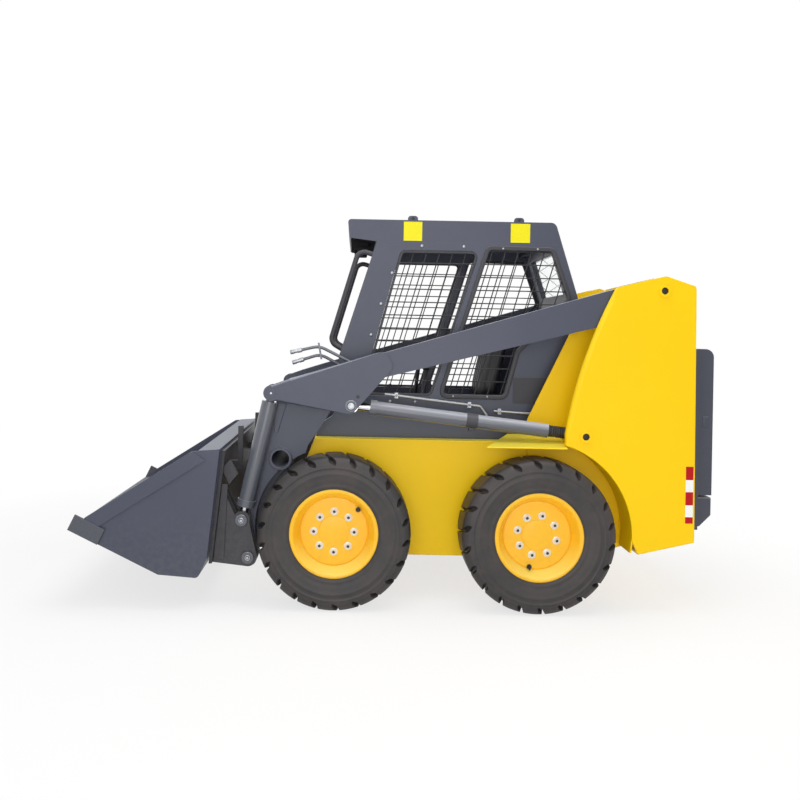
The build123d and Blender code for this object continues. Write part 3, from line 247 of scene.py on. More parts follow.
redLens = clearPane("redLensMoulded", {
    "colour": "#C01818", "second": "#A81212", "ior": 1.49, "clear": 0.25, "gloss": (0.08, 0.2)})
windowGlass = clearPane("clearToughenedGlass", {
    "colour": "#FCFEFD", "second": "#F6FAF9", "ior": 1.45, "clear": 0.98, "gloss": (0.0, 0.03)})
print("materials made", len(bpy.data.materials))


# Shape helpers: every shape is an array of points and an array of faces

def toFrame(points):
    # Millimetres from the rear axle's X, the machine's middle and the ground, to metres in the shared frame
    points = np.asarray(points, float)
    return points / 1000 + np.array([rearAxle[0], 0, 0])


def gridFaces(rows, cols, wrapRows=False, wrapCols=False):
    # Quads between neighbouring rows and columns of a grid of points
    i = np.arange(rows if wrapRows else rows - 1)
    j = np.arange(cols if wrapCols else cols - 1)
    a, b = (part.ravel() for part in np.meshgrid(i, j, indexing="ij"))
    nextA, nextB = (a + 1) % rows, (b + 1) % cols
    return np.stack([a * cols + b, nextA * cols + b, nextA * cols + nextB, a * cols + nextB], -1).tolist()


def joined(*shapes):
    # Several (points, faces) shapes as one
    points, faces, start = [], [], 0
    for shapePoints, shapeFaces in shapes:
        points.append(np.asarray(shapePoints, float).reshape(-1, 3))
        faces += [[index + start for index in face] for face in shapeFaces]
        start += len(points[-1])
    return np.concatenate(points), faces


def repeated(shape, offsets):
    # The same shape set at each offset
    points, faces = np.asarray(shape[0], float).reshape(-1, 3), shape[1]
    offsets = np.asarray(offsets, float).reshape(-1, 3)
    allPoints = (points[None] + offsets[:, None]).reshape(-1, 3)
    count = len(points)
    return allPoints, [[index + count * turn for index in face] for turn in range(len(offsets)) for face in faces]


def unit(vectors):
    return vectors / np.linalg.norm(vectors, axis=-1, keepdims=True)


def alongY(spots, y):
    # Spots of (x, z) at one y
    spots = np.asarray(spots, float).reshape(-1, 2)
    return np.stack([spots[:, 0], np.full(len(spots), y), spots[:, 1]], 1)


def otherSide(shape):
    # Mirrored across the machine's middle, with the faces turned round to stay outward
    return np.asarray(shape[0], float).reshape(-1, 3) * np.array([1, -1, 1]), [face[::-1] for face in shape[1]]


def ring(profile, segments, closed=True, centre=(0, 0, 0)):
    # Profile of (radius, distance along Y) turned about a line along Y through centre
    profile = np.asarray(profile, float)
    angle = np.linspace(0, 2 * np.pi, segments, endpoint=False)[:, None]
    x = centre[0] + profile[None, :, 0] * np.sin(angle)
    z = centre[2] + profile[None, :, 0] * np.cos(angle)
    y = centre[1] + profile[None, :, 1] + 0 * angle
    return np.stack([x, y, z], -1).reshape(-1, 3), gridFaces(segments, len(profile), True, closed)


def tube(path, radius, sides=12):
    # Circle carried along a path, its frame from the path's direction and one steady side vector;
    # the radius may change on the way
    path = np.asarray(path, float)
    reach = np.broadcast_to(np.asarray(radius, float), len(path))[:, None, None]
    along = unit(np.gradient(path, axis=0))
    steady = np.array([0.12, 1.0, 0.07]) if abs(along[:, 1]).max() < 0.9 else np.array([0.0, 0.1, 1.0])
    across = unit(np.cross(along, steady))
    other = np.cross(along, across)
    angle = np.linspace(0, 2 * np.pi, sides, endpoint=False)
    turn = angle[None, :, None]
    points = path[:, None] + reach * (np.cos(turn) * across[:, None] + np.sin(turn) * other[:, None])
    count = len(path)
    caps = [list(range(sides)), list(range((count - 1) * sides, count * sides))[::-1]]
    return points.reshape(-1, 3), [face[::-1] for face in gridFaces(count, sides, False, True)] + caps


def roundedCorners(corners, steps=6):
    # Polygon of (x, z, radius) corners with each corner swept by an arc tangent to both sides
    points = np.array([corner[:2] for corner in corners], float)
    radii = np.array([corner[2] if len(corner) > 2 else 0 for corner in corners], float)
    before, after = unit(np.roll(points, 1, 0) - points), unit(np.roll(points, -1, 0) - points)
    half = np.arccos(np.clip((before * after).sum(1), -1, 1)) / 2
    reach = radii / np.tan(half)
    start, end = points + before * reach[:, None], points + after * reach[:, None]
    share = np.linspace(0, 1, steps)[None, :, None]
    arcs = (1 - share) ** 2 * start[:, None] + 2 * share * (1 - share) * points[:, None] + share ** 2 * end[:, None]
    kept = [arc if radius > 0 else arc[:1] for arc, radius in zip(arcs, radii)]
    return np.concatenate(kept)


def drawnIn(outline, inset):
    # Outline moved inwards by inset, along the mean direction of the sides at each point
    onward = np.roll(outline, -1, 0) - np.roll(outline, 1, 0)
    normal = unit(np.stack([-onward[:, 1], onward[:, 0]], 1))
    area = (outline[:, 0] * np.roll(outline[:, 1], -1) - np.roll(outline[:, 0], -1) * outline[:, 1]).sum()
    return outline + np.sign(area) * normal * inset


def surround(outline, section):
    # Section of (inset, y) points carried round an outline of (x, z) points, closed both ways
    outline = np.asarray(outline, float)
    points = np.stack([alongY(drawnIn(outline, inset), y) for inset, y in section])
    return points.reshape(-1, 3), gridFaces(len(section), len(outline), True, True)


def bentPath(points, bend, steps=7):
    # Open path whose inner corners are swept by a curve that starts and ends a bend's length from the corner
    points = np.asarray(points, float)
    before, after = unit(points[:-2] - points[1:-1]), unit(points[2:] - points[1:-1])
    share = np.linspace(0, 1, steps)[None, :, None]
    corner = points[1:-1, None]
    arcs = corner + bend * ((1 - share) ** 2 * before[:, None] + share ** 2 * after[:, None])
    return np.concatenate([points[:1], arcs.reshape(-1, 3), points[-1:]])


def slab(outline, low, high, edge):
    # Outline of (x, z) points carried along Y from low to high, its rims drawn in by edge
    outline = np.asarray(outline, float)
    inner = drawnIn(outline, edge)
    rings = [(inner, low), (outline, low + edge), (outline, high - edge), (inner, high)]
    points = np.stack([alongY(flat, y) for flat, y in rings])
    count = len(outline)
    caps = [list(range(count))[::-1], list(range(3 * count, 4 * count))]
    return points.reshape(-1, 3), gridFaces(4, count, False, True) + caps


def roundedBlock(low, high, radius, steps=3):
    # Box whose corners are eighths of a sphere: each point is its corner's centre plus radius times a direction
    low, high = np.asarray(low, float), np.asarray(high, float)
    quarter = np.linspace(0, np.pi / 2, steps)
    turn = np.concatenate([quarter + k * np.pi / 2 for k in range(4)])
    signX, signY = (np.repeat(np.array(signs), steps) for signs in ([1, -1, -1, 1], [1, 1, -1, -1]))
    rise = np.concatenate([quarter - np.pi / 2, quarter])
    signZ = np.repeat(np.array([-1, 1]), steps)
    direction = np.stack([np.cos(rise)[:, None] * np.cos(turn), np.cos(rise)[:, None] * np.sin(turn),
                          np.sin(rise)[:, None] + 0 * turn], -1)
    signs = np.stack([signX + 0 * rise[:, None], signY + 0 * rise[:, None], signZ[:, None] + 0 * turn], -1)
    points = (low + high) / 2 + signs * ((high - low) / 2 - radius) + direction * radius
    rows, cols = len(rise), len(turn)
    caps = [list(range(cols))[::-1], list(range((rows - 1) * cols, rows * cols))]
    return points.reshape(-1, 3), gridFaces(rows, cols, False, True) + caps


def addPiece(name, shape, material, body, slotName, stands=(), smooth=True, merge=False):
    # Puts the arrays into a mesh, turns the faces outward and sets what the piece rides on
    points, faces = shape
    mesh = bpy.data.meshes.new(name)
    mesh.from_pydata(np.asarray(points, float).reshape(-1, 3).tolist(), [], faces)
    work = bmesh.new()
    work.from_mesh(mesh)
    if merge:
        bmesh.ops.remove_doubles(work, verts=work.verts, dist=1e-6)
    bmesh.ops.recalc_face_normals(work, faces=work.faces)
    work.to_mesh(mesh)
    work.free()
    mesh.polygons.foreach_set("use_smooth", np.full(len(mesh.polygons), smooth))
    mesh.materials.append(material)
    piece = bpy.data.objects.new(name, mesh)
    scene.collection.objects.link(piece)
    if smooth:
        mesh.set_sharp_from_angle(angle=math.radians(32))
    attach(piece, body)
    if stands:
        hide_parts(*stands)
    return piece


def softEdged(node, material, slotName, edgeMm, rolled=None):
    # Copy of a plate part with its outer edges broken by a small round, or by a broad one inside the rolled box
    mesh = frame["nodes"][node].data.copy()
    mesh.name = node + "Painted"
    work = bmesh.new()
    work.from_mesh(mesh)
    bmesh.ops.remove_doubles(work, verts=work.verts, dist=2e-6)
    bmesh.ops.dissolve_limit(work, angle_limit=math.radians(0.6), verts=work.verts, edges=work.edges)
    broad = rolled["mm"] if rolled else edgeMm
    weight = work.edges.layers.float.new("bevel_weight_edge")
    for edge in work.edges:
        if not edge.is_manifold or edge.calc_face_angle_signed(0) < math.radians(35):
            continue
        ends = np.array([vert.co for vert in edge.verts]) * 1000 - [rearAxle[0] * 1000, 0, 0]
        ends[:, 1] = np.abs(ends[:, 1])
        inside = rolled and (ends > rolled["low"]).all() and (ends < rolled["high"]).all()
        onFace = not rolled or (ends[:, 1] > rolled["low"][1]).all()
        if onFace and edge.calc_length() > (0.010 if inside else 5 * edgeMm / 1000):
            edge[weight] = 1.0 if inside else edgeMm / broad
    work.to_mesh(mesh)
    work.free()
    mesh.materials.clear()
    mesh.materials.append(material)
    mesh.polygons.foreach_set("use_smooth", np.full(len(mesh.polygons), True))
    mesh.set_sharp_from_angle(angle=math.radians(30))
    piece = bpy.data.objects.new(node + "Painted", mesh)
    scene.collection.objects.link(piece)
    bevel = piece.modifiers.new("edgeRound", "BEVEL")
    bevel.width = broad / 1000
    bevel.segments = 4 if rolled else 2
    bevel.limit_method = "WEIGHT"
    bevel.use_clamp_overlap = rolled is None
    flatten = piece.modifiers.new("flatFaces", "WEIGHTED_NORMAL")
    flatten.keep_sharp = True
    flatten.weight = 100
    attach(piece, bodyOfNode[node])
    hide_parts(node)
    return piece


# Camera and light

view = {"lensMm": 42.2, "spotMm": (938, 5480, 1380), "shift": (0.0563, -0.0813), "rollDeg": 1.1}
cameraData = bpy.data.cameras.new("photoCamera")
cameraData.lens = view["lensMm"]
cameraData.sensor_width = 36
cameraData.shift_x, cameraData.shift_y = view["shift"]
camera = bpy.data.objects.new("photoCamera", cameraData)
camera.location = toFrame(view["spotMm"])
camera.rotation_mode = "QUATERNION"
level = Quaternion((0, 0, 1), math.pi) @ Quaternion((1, 0, 0), math.pi / 2)
camera.rotation_quaternion = level @ Quaternion((0, 0, 1), math.radians(view["rollDeg"]))
scene.collection.objects.link(camera)
scene.camera = camera
scene.view_settings.view_transform = "Standard"


def seenRays(tree):
    # One for rays from the camera, a mirror or a pane, and nought for the light that falls on the object
    rays = addNode(tree, "LightPath")
    direct = addNode(tree, "Math", {"operation": "MAXIMUM"},
                     {0: rays.outputs["Is Camera Ray"], 1: rays.outputs["Is Glossy Ray"]})
    return addNode(tree, "Math", {"operation": "MAXIMUM"},
                   {0: direct.outputs[0], 1: rays.outputs["Is Transmission Ray"]}).outputs[0]


studio = {"worldLight": 0.46, "floorColours": ("#FCFCFB", "#F8F8F7"), "cloudMm": 800, "halfM": 14,
          "fadeM": (2.0, 4.0), "nearGlow": 0.72}
world = bpy.data.worlds.new("softStudio")
scene.world = world
world.use_nodes = True
sky = world.node_tree
sky.nodes.clear()
strength = addNode(sky, "MapRange", {"To Min": studio["worldLight"], "To Max": 1.0}, {"Value": seenRays(sky)})
glow = addNode(sky, "Background", {"Color": (1, 1, 1, 1)}, {"Strength": strength.outputs["Result"]})
addNode(sky, "OutputWorld", None, {"Surface": glow.outputs["Background"]})

lampRows = [
    {"name": "keyPanel", "at": (1.6, 4.2, 4.6), "aim": (0.0, 0.0, 0.9), "size": 3.2, "watts": 42},
    {"name": "topPanel", "at": (-0.4, 0.6, 5.2), "aim": (-0.2, 0.0, 0.9), "size": 4.0, "watts": 135},
    {"name": "rearPanel", "at": (-4.2, -2.6, 3.2), "aim": (0.0, 0.0, 0.9), "size": 2.6, "watts": 60},
    {"name": "fillPanel", "at": (0.3, 6.2, 1.3), "aim": (0.0, 0.0, 0.8), "size": 3.6, "watts": 102},
]
for row in lampRows:
    panel = bpy.data.lights.new(row["name"], "AREA")
    panel.shape, panel.size, panel.energy = "SQUARE", row["size"], row["watts"]
    lamp = bpy.data.objects.new(row["name"], panel)
    lamp.location = row["at"]
    aim = np.array(row["aim"]) - np.array(row["at"])
    lamp.rotation_mode = "QUATERNION"
    lamp.rotation_quaternion = Vector(aim.tolist()).to_track_quat("-Z", "Y")
    scene.collection.objects.link(lamp)

floorMaterial, floorTree, floorShader, floorWhere = newMaterial(
    "paleStudioFloor", {"Roughness": 0.9, "Specular IOR Level": 0.1})
floorCloud = addNode(floorTree, "TexNoise", {"Scale": perMetre(studio["cloudMm"])}, {"Vector": floorWhere})
pale, second = (linear(colour) for colour in studio["floorColours"])
floorTone = addNode(floorTree, "Mix", {"data_type": "RGBA", 6: pale, 7: second}, {0: floorCloud.outputs["Fac"]})
floorTree.links.new(floorTone.outputs[2], floorShader.inputs["Base Color"])
floorReach = addNode(floorTree, "VectorMath", {"operation": "LENGTH"}, {0: floorWhere})
near, far = studio["fadeM"]
floorFade = addNode(floorTree, "MapRange", {
    "interpolation_type": "SMOOTHSTEP", "From Min": near, "From Max": far, "To Min": studio["nearGlow"]},
    {"Value": floorReach.outputs["Value"]})
floorShare = addNode(floorTree, "Math", {"operation": "MULTIPLY"},
                     {0: floorFade.outputs["Result"], 1: seenRays(floorTree)})
floorWhite = addNode(floorTree, "Emission", {"Color": (1, 1, 1, 1), "Strength": 1.0})
floorMix = addNode(floorTree, "MixShader", None, {
    0: floorShare.outputs[0], 1: floorShader.outputs["BSDF"], 2: floorWhite.outputs["Emission"]})
floorOutput = next(node for node in floorTree.nodes if node.type == "OUTPUT_MATERIAL")
floorTree.links.new(floorMix.outputs["Shader"], floorOutput.inputs["Surface"])
floorMesh = bpy.data.meshes.new("studioFloor")
half = studio["halfM"]
floorMesh.from_pydata([(-half, -half, 0), (half, -half, 0), (half, half, 0), (-half, half, 0)], [], [(0, 1, 2, 3)])
floorMesh.materials.append(floorMaterial)
floor = bpy.data.objects.new("studioFloor", floorMesh)
scene.collection.objects.link(floor)
print("camera, light and floor set")


# Painted plate parts keep their CAD shape, with broken edges

towerRoll = {"mm": 21, "low": (-450, 759, 845), "high": (-100, 761, 1700)}
armRoll = {"mm": 11, "low": (600, 740, 900), "high": (1450, 742, 1700)}
paintedParts = {
    "tower_left": (yellowEnamel, "yellow_paint", 4, towerRoll),
    "tower_right": (yellowEnamel, "yellow_paint", 4, towerRoll),
    "main_frame": (yellowEnamel, "yellow_paint", 3), "axle_housings": (yellowEnamel, "yellow_paint", 3),
    "arm_left": (slateEnamel, "grey_paint", 3, armRoll), "arm_right": (slateEnamel, "grey_paint", 3, armRoll),
    "hitch_frame": (charcoalEnamel, "grey_paint", 2.5), "bucket_shell": (bucketEnamel, "grey_paint", 2),
    "cutting_edge": (wornSteel, "edge_steel", 2), "cab_side_left": (slateEnamel, "grey_paint", 3),
    "cab_side_right": (slateEnamel, "grey_paint", 3), "cab_roof": (slateEnamel, "grey_paint", 4),
    "cab_rear_panel": (slateEnamel, "grey_paint", 2.5), "rear_door": (slateEnamel, "grey_paint", 5),
    "rear_bumper": (slateEnamel, "grey_paint", 8), "engine_hood": (slateEnamel, "grey_paint", 2.5),
}
for node, look in paintedParts.items():
    softEdged(node, *look)

plainParts = {
    "engine_block": castIron, "cab_floor": charcoalEnamel, "seat_frame": blackPlastic, "control_levers": blackPlastic,
    "grab_rails": charcoalEnamel, "hydraulic_lines": zincSteel, "arm_cross_tube": slateEnamel,
    "cab_rear_glass": windowGlass,
}
for side in ("left", "right"):
    plainParts["lift_barrel_" + side] = barrelEnamel
    plainParts["tilt_barrel_" + side] = barrelEnamel
    plainParts["lift_rod_" + side] = chromeRod
    plainParts["tilt_rod_" + side] = chromeRod
for node, material in plainParts.items():
    mesh = frame["nodes"][node].data
    mesh.materials.clear()
    mesh.materials.append(material)
print("painted parts dressed")


# Tyres: one surface of wall, shoulder and tread, with slanting grooves between broad lugs

tyreShape = {
    "lugs": 22, "leadPitch": 0.42, "staggerPitch": 0.5, "edgeMm": 2, "floorShare": 0.55, "lugColumns": 6,
    "wall": [(205.6, 104), (222.9, 104.5), (223.2, 116), (229, 120.5), (235, 123.6), (240, 125), (245, 123.6),
             (258, 126.6), (278, 129.2), (294, 129.8), (298, 131), (304, 131), (308, 129.4), (320, 128.6), (326, 128.8),
             (330, 131.3), (336, 131.3), (340, 129.2)],
    "crest": [(344, 129.4), (350, 129), (358, 126), (368, 119.5), (377, 111.5), (382.4, 104), (385.2, 95), (386.2, 72),
              (386.4, 38), (386.4, 12)],
    "root": [(343.6, 128.8), (346, 122), (350, 110), (357, 101), (362, 93), (365, 86), (367, 78), (369, 62), (370, 36),
             (371, 12)],
    "gapMm": [4, 9, 15, 16, 12, 9, 8, 8, 9, 10],
}


def tyreShell(centre):
    # Each row has a crest and a root; columns step over the groove floor, its walls and the lug, and mix the two.
    # Angle = lug start + slant times the share from shoulder to middle + step across the lug over the radius
    shape = tyreShape
    wall, crest, root = (np.array(shape[key], float) for key in ("wall", "crest", "root"))
    crest, root = np.concatenate([wall, crest]), np.concatenate([wall, root])
    gap = np.concatenate([np.full(len(wall), float(shape["gapMm"][0])), shape["gapMm"]])
    share = np.concatenate([np.zeros(len(wall)), np.linspace(0, 1, len(shape["crest"]))])
    crest, root = (np.concatenate([half, (half * [1, -1])[::-1]]) for half in (crest, root))
    pitch = 2 * np.pi / shape["lugs"]
    far = np.concatenate([np.zeros(len(share)), 1 - share[::-1]])
    slant = pitch * (shape["leadPitch"] * np.concatenate([share, share[::-1]]) + shape["staggerPitch"] * np.sqrt(far))
    gap = np.concatenate([gap, gap[::-1]])[:, None] / crest[:, :1]
    edge = shape["edgeMm"] / crest[:, :1]
    onLug = gap + edge + (pitch - 2 * gap - 2 * edge) * np.linspace(0, 1, shape["lugColumns"] + 2)[None]
    floor = shape["floorShare"] * gap
    steps = np.concatenate([-floor, floor, gap, onLug, pitch - gap], 1)
    mix = np.array([0, 0, 0.85] + [1] * (shape["lugColumns"] + 2) + [0.85])[None, :, None]
    section = root[:, None] * (1 - mix) + crest[:, None] * mix
    starts = np.arange(shape["lugs"])[None, :, None] * pitch
    angle = (starts + slant[:, None, None] + steps[:, None]).reshape(len(crest), -1)
    section = np.tile(section, (1, shape["lugs"], 1)) / 1000
    points = np.stack([centre[0] + section[..., 0] * np.sin(angle), centre[1] + section[..., 1],
                       centre[2] + section[..., 0] * np.cos(angle)], -1)
    return points.reshape(-1, 3), gridFaces(len(crest), angle.shape[1], True, True)


wheelShape = {
    "segments": 128, "nuts": 8, "boltCircleMm": 102, "nutTurnDeg": {"front": 0, "rear": -14},
    "nutM": (0.024, 0.015, 0.0085), "studM": (0.0085, 0.015), "nutSeatM": 0.0468,
    "valve": {"front": (163, -47), "rear": (163, 167)}, "valveSeatM": 0.044,
    "valveRiseM": [0, 0.010, 0.0101, 0.020, 0.030], "valveLeanM": [0, 0.002, 0.002, 0.004, 0.008],
    "valveRadiusM": [0.013, 0.012, 0.006, 0.005, 0.005],
    "rim": [(174, 47), (175.2, 50.5), (178, 57), (199, 106), (202, 112), (207, 116), (214, 117.4), (219, 117),
            (222.2, 115), (222.4, 110), (220, 106), (212, 105.2), (206, 103), (205, 98), (205, -98), (206, -103),
            (212, -105.2), (220, -106), (222.4, -110), (222.2, -115), (219, -117), (203, -117), (196, -116), (196, -60),
            (196, 17), (174, 32)],
    "disc": [(0, 50.6), (72, 50.6), (74.5, 50), (75.5, 48), (76, 46.2), (78.5, 46.2), (79.5, 47), (164, 47),
             (168, 46.6), (170.6, 45), (171.6, 42), (174.2, 42), (174.2, 33), (60, 33), (45, 30), (45, -60), (45, -141),
             (0, -141)],
}


def hexNut(across, height, hole):
    # Six-sided nut along Y with a chamfered crown, on a cone washer that is twice as wide
    radius = across / math.sqrt(3)
    body = [(radius, 0), (radius, height * 0.8), (radius * 0.86, height), (hole, height), (hole, height * 0.5)]
    washer = [(radius * 1.5, 0), (radius * 1.5, height * 0.14), (radius * 1.35, height * 0.3),
              (radius * 0.95, height * 0.42)]
    return joined(ring(body, 6), ring(washer, 28))


def studEnd(hole, height):
    # End of a wheel stud, sunk below the nut's crown
    profile = [(0, 0.4), (hole, 0.4), (hole, 0.78), (hole * 0.8, 0.84), (0, 0.84)]
    return ring(np.array(profile) * [1, height], 18, False)


for axle, axleX in (("front", frontAxle[0]), ("rear", rearAxle[0])):
    centre = middleOf("tyre_" + axle + "_left")
    centre[0] = axleX
    tyre = tyreShell(centre)
    rim = ring(np.array(wheelShape["rim"]) / 1000, wheelShape["segments"], True, centre)
    disc = ring(np.array(wheelShape["disc"]) / 1000, wheelShape["segments"], False, centre)
    spin = np.linspace(0, 2 * np.pi, wheelShape["nuts"], endpoint=False) + math.radians(wheelShape["nutTurnDeg"][axle])
    reach = wheelShape["boltCircleMm"] / 1000
    seat = np.full(len(spin), wheelShape["nutSeatM"])
    spots = centre + np.stack([reach * np.sin(spin), seat, reach * np.cos(spin)], -1)
    nuts = repeated(hexNut(*wheelShape["nutM"]), spots)
    studs = repeated(studEnd(*wheelShape["studM"]), spots)
    valveReach, valveTurn = wheelShape["valve"][axle][0] / 1000, math.radians(wheelShape["valve"][axle][1])
    outward = np.array([math.sin(valveTurn), 0, math.cos(valveTurn)])
    valveAt = centre + valveReach * outward + np.array([0, wheelShape["valveSeatM"], 0])
    valvePath = np.outer(wheelShape["valveRiseM"], [0, 1, 0]) + np.outer(wheelShape["valveLeanM"], outward)
    valve = tube(valveAt + valvePath, wheelShape["valveRadiusM"], 16)
    leftShapes = (tyre, joined(rim, disc), nuts, studs, valve)
    for side in ("left", "right"):
        end = "_" + axle + "_" + side
        body = bodyOfNode["tyre" + end]
        tyre, wheel, nuts, studs, valve = leftShapes if side == "left" else [otherSide(shape) for shape in leftShapes]
        addPiece("tyre" + end + "_lugged", tyre, tyreRubber, body, "tyre_rubber", ["tyre" + end])
        addPiece("wheel" + end + "_turned", wheel, rimEnamel, body, "rim_paint", ["wheel" + end], merge=True)
        addPiece("wheelNuts" + end, nuts, nutZinc, body, "pipe_steel")
        addPiece("wheelStuds" + end, studs, blackPlastic, body, "black_plastic", merge=True)
        addPiece("valve" + end, valve, blackPlastic, body, "black_plastic")
print("wheels built")


# Small fastenings, in millimetres along Y from the face they sit on

def domeHead(radius, height):
    # Low round head: a quarter ellipse turned about Y, closed underneath
    angle = np.linspace(0, np.pi / 2, 6)
    curve = np.stack([radius * np.cos(angle), height * np.sin(angle)], 1)
    curve[-1, 0] = 0
    return ring(np.concatenate([[[0, 0]], curve]), 20, False)


def hexHead(across, height):
    # Six-sided head with a chamfered crown, closed underneath
    radius = across / math.sqrt(3)
    profile = [(0, 0), (radius, 0), (radius, height * 0.75), (radius * 0.84, height), (0, height)]
    return ring(profile, 6, False)


def flatWasher(inner, outer, height):
    # Ring of rectangular section with a small chamfer on its outer edge
    profile = [(inner, 0), (outer, 0), (outer, height * 0.7), (outer - height * 0.3, height), (inner, height)]
    return ring(profile, 48)


def placed(shape):
    return toFrame(shape[0]), shape[1]


def addPair(name, shape, *how, **options):
    # One piece with the same shape, given in millimetres, on both sides of the machine
    return addPiece(name, placed(joined(shape, otherSide(shape))), *how, **options)


# Window guards: round wires laid in two layers over a flat border, and a seal round the rear window

windowGuard = {
    "middleY": 440, "wireMm": 3.1, "pitchMm": 70, "lean": 0.29, "borderMm": 14, "cornerMm": 38,
    "front": [(903, 1058), (700, 1842), (276, 1842), (522, 1058)],
    "rear": [(478, 1058), (233, 1862), (-118, 1858), (-213, 1592), (62, 1306), (126, 1058)],
    "border": [(0.6, 436), (0.6, 443), (1.8, 444), (12.8, 444), (14, 443), (14, 436)],
    "seal": [(-11, 450.2), (-10.5, 455), (-8, 457.5), (-3, 458.5), (6, 458.5), (10.5, 457.5), (12.5, 455), (13, 450),
             (13, 445.5), (-0.2, 445.5), (-0.2, 450.2)],
}


def wireSpans(corners, normal, levels):
    # Each wire lies where normal times point equals its level; its crossings with the outline are taken in pairs
    start = np.asarray(corners, float)
    end = np.roll(start, -1, 0)
    normal = np.asarray(normal, float)
    direction = np.array([-normal[1], normal[0]])
    spans = []
    for level in levels:
        before, after = start @ normal - level, end @ normal - level
        hit = before * after < 0
        share = (before[hit] / (before[hit] - after[hit]))[:, None]
        points = start[hit] + share * (end[hit] - start[hit])
        points = points[np.argsort(points @ direction)]
        spans += [(points[k], points[k + 1]) for k in range(0, len(points) - 1, 2)]
    return spans


def guardPanel(corners):
    # Leaning wires behind and level wires in front, each a straight tube, inside a flat border
    guard = windowGuard
    outline = roundedCorners([(x, z, guard["cornerMm"]) for x, z in corners])
    low, high = np.min(corners, 0) + guard["borderMm"], np.max(corners, 0) - guard["borderMm"]
    lean = guard["lean"]
    leaning = np.arange(low[0], high[0] + lean * (high[1] - low[1]), guard["pitchMm"]) + lean * low[1]
    level = np.arange(low[1], high[1], guard["pitchMm"])[1:]
    shapes = []
    for normal, levels, y in (((1, lean), leaning, -1), ((0, 1), level, 1)):
        for first, last in wireSpans(corners, normal, levels):
            path = alongY([first, last], guard["middleY"] + y * guard["wireMm"] * 0.9)
            shapes.append(tube(path, guard["wireMm"], 8))
    return surround(outline, guard["border"]), joined(*shapes)


border, wires = [joined(*pair) for pair in zip(guardPanel(windowGuard["front"]), guardPanel(windowGuard["rear"]))]
sealPath = roundedCorners([(x, z, windowGuard["cornerMm"]) for x, z in windowGuard["rear"]])
seal = surround(sealPath, windowGuard["seal"])
for side, turned in (("left", lambda shape: shape), ("right", otherSide)):
    addPiece("guardWires_" + side, placed(turned(wires)), blackEnamel, "chassis", "wire_mesh", ["grille_" + side])
    addPiece("guardBorder_" + side, placed(turned(border)), charcoalEnamel, "chassis", "grey_paint")
    addPiece("rearWindowSeal_" + side, placed(turned(seal)), charcoalEnamel, "chassis", "grey_paint")
print("window guards woven")


# Cab side: bolts of (radius, height) at one y, blank film squares, a cover plate and the eyes' pins

cabFixings = {
    "bolts": [
        ((9, 6), 449.8, [(588, 1864), (363, 1864), (746, 1716), (802, 1549), (852, 1382), (744, 1030), (610, 1030)]),
        ((6, 4), 457.5, [(153, 1857), (-32, 1857), (406, 1062), (224, 1062)]),
        ((6.5, 5), 469.8, [(710, 1060), (320, 1018), (158, 985), (-30, 975)])],
    "film": [(588, 687), (9, 113)], "filmZ": (1891, 1993), "filmY": (449.9, 450.8),
    "cover": [(-120, 1028, 8), (86, 1028, 14), (86, 1169, 14), (-120, 1169, 8)], "coverY": (449.9, 451.6),
    "eyes": [(62, 2016), (636, 2016)], "eyeY": (398.4, 411.6), "eyePinMm": 8.8,
}
bolts = [repeated(domeHead(*size), alongY(spots, y)) for size, y, spots in cabFixings["bolts"]]
addPair("cabBolts", joined(*bolts), zincSteel, "chassis", "pipe_steel", merge=True)
cover = slab(roundedCorners(cabFixings["cover"]), *cabFixings["coverY"], 0.5)
addPair("cabCover", cover, charcoalEnamel, "chassis", "grey_paint")
low, high = cabFixings["eyeY"]
radius = cabFixings["eyePinMm"]
eyePin = ring([(0, low), (radius, low), (radius, high), (0, high)], 24, False)
eyePins = repeated(eyePin, alongY(cabFixings["eyes"], 0))
addPair("eyePins", eyePins, blackPlastic, "chassis", "black_plastic", merge=True)
low, high = cabFixings["filmZ"]
squares = [slab([(a, low), (b, low), (b, high), (a, high)], *cabFixings["filmY"], 0.3) for a, b in cabFixings["film"]]
addPair("roofFilmSquares", joined(*squares), decalFilm, "chassis", "yellow_paint")


# Tower: reflective bands down the rear edge and dark pin ends in the two rings

towerMarks = {
    "bandX": (-779, -741), "bandZ": [749, 682, 621, 555, 495, 463], "bandY": (759.9, 760.7),
    "pins": [(-617, 1631), (-234, 889)],
    "pinEnd": [(0, 752.6), (17.7, 752.6), (17.7, 756.5), (16, 757.5), (6, 757.5), (5, 756), (0, 756)],
}
left, right = towerMarks["bandX"]
bands = [slab([(left, low), (right, low), (right, high), (left, high)], *towerMarks["bandY"], 0.3)
         for high, low in zip(towerMarks["bandZ"], towerMarks["bandZ"][1:])]
addPair("redBands", joined(*bands[0::2]), redFilm, "chassis", "yellow_paint")
addPair("whiteBands", joined(*bands[1::2]), whiteFilm, "chassis", "yellow_paint")
pinEnds = repeated(ring(towerMarks["pinEnd"], 40, False), alongY(towerMarks["pins"], 0))
addPair("towerPinEnds", pinEnds, blackPlastic, "chassis", "black_plastic", merge=True)
print("cab and tower fittings set")


# Arms: washers and bolts at the pins, a plugged hole, weld beads, pipes with couplers

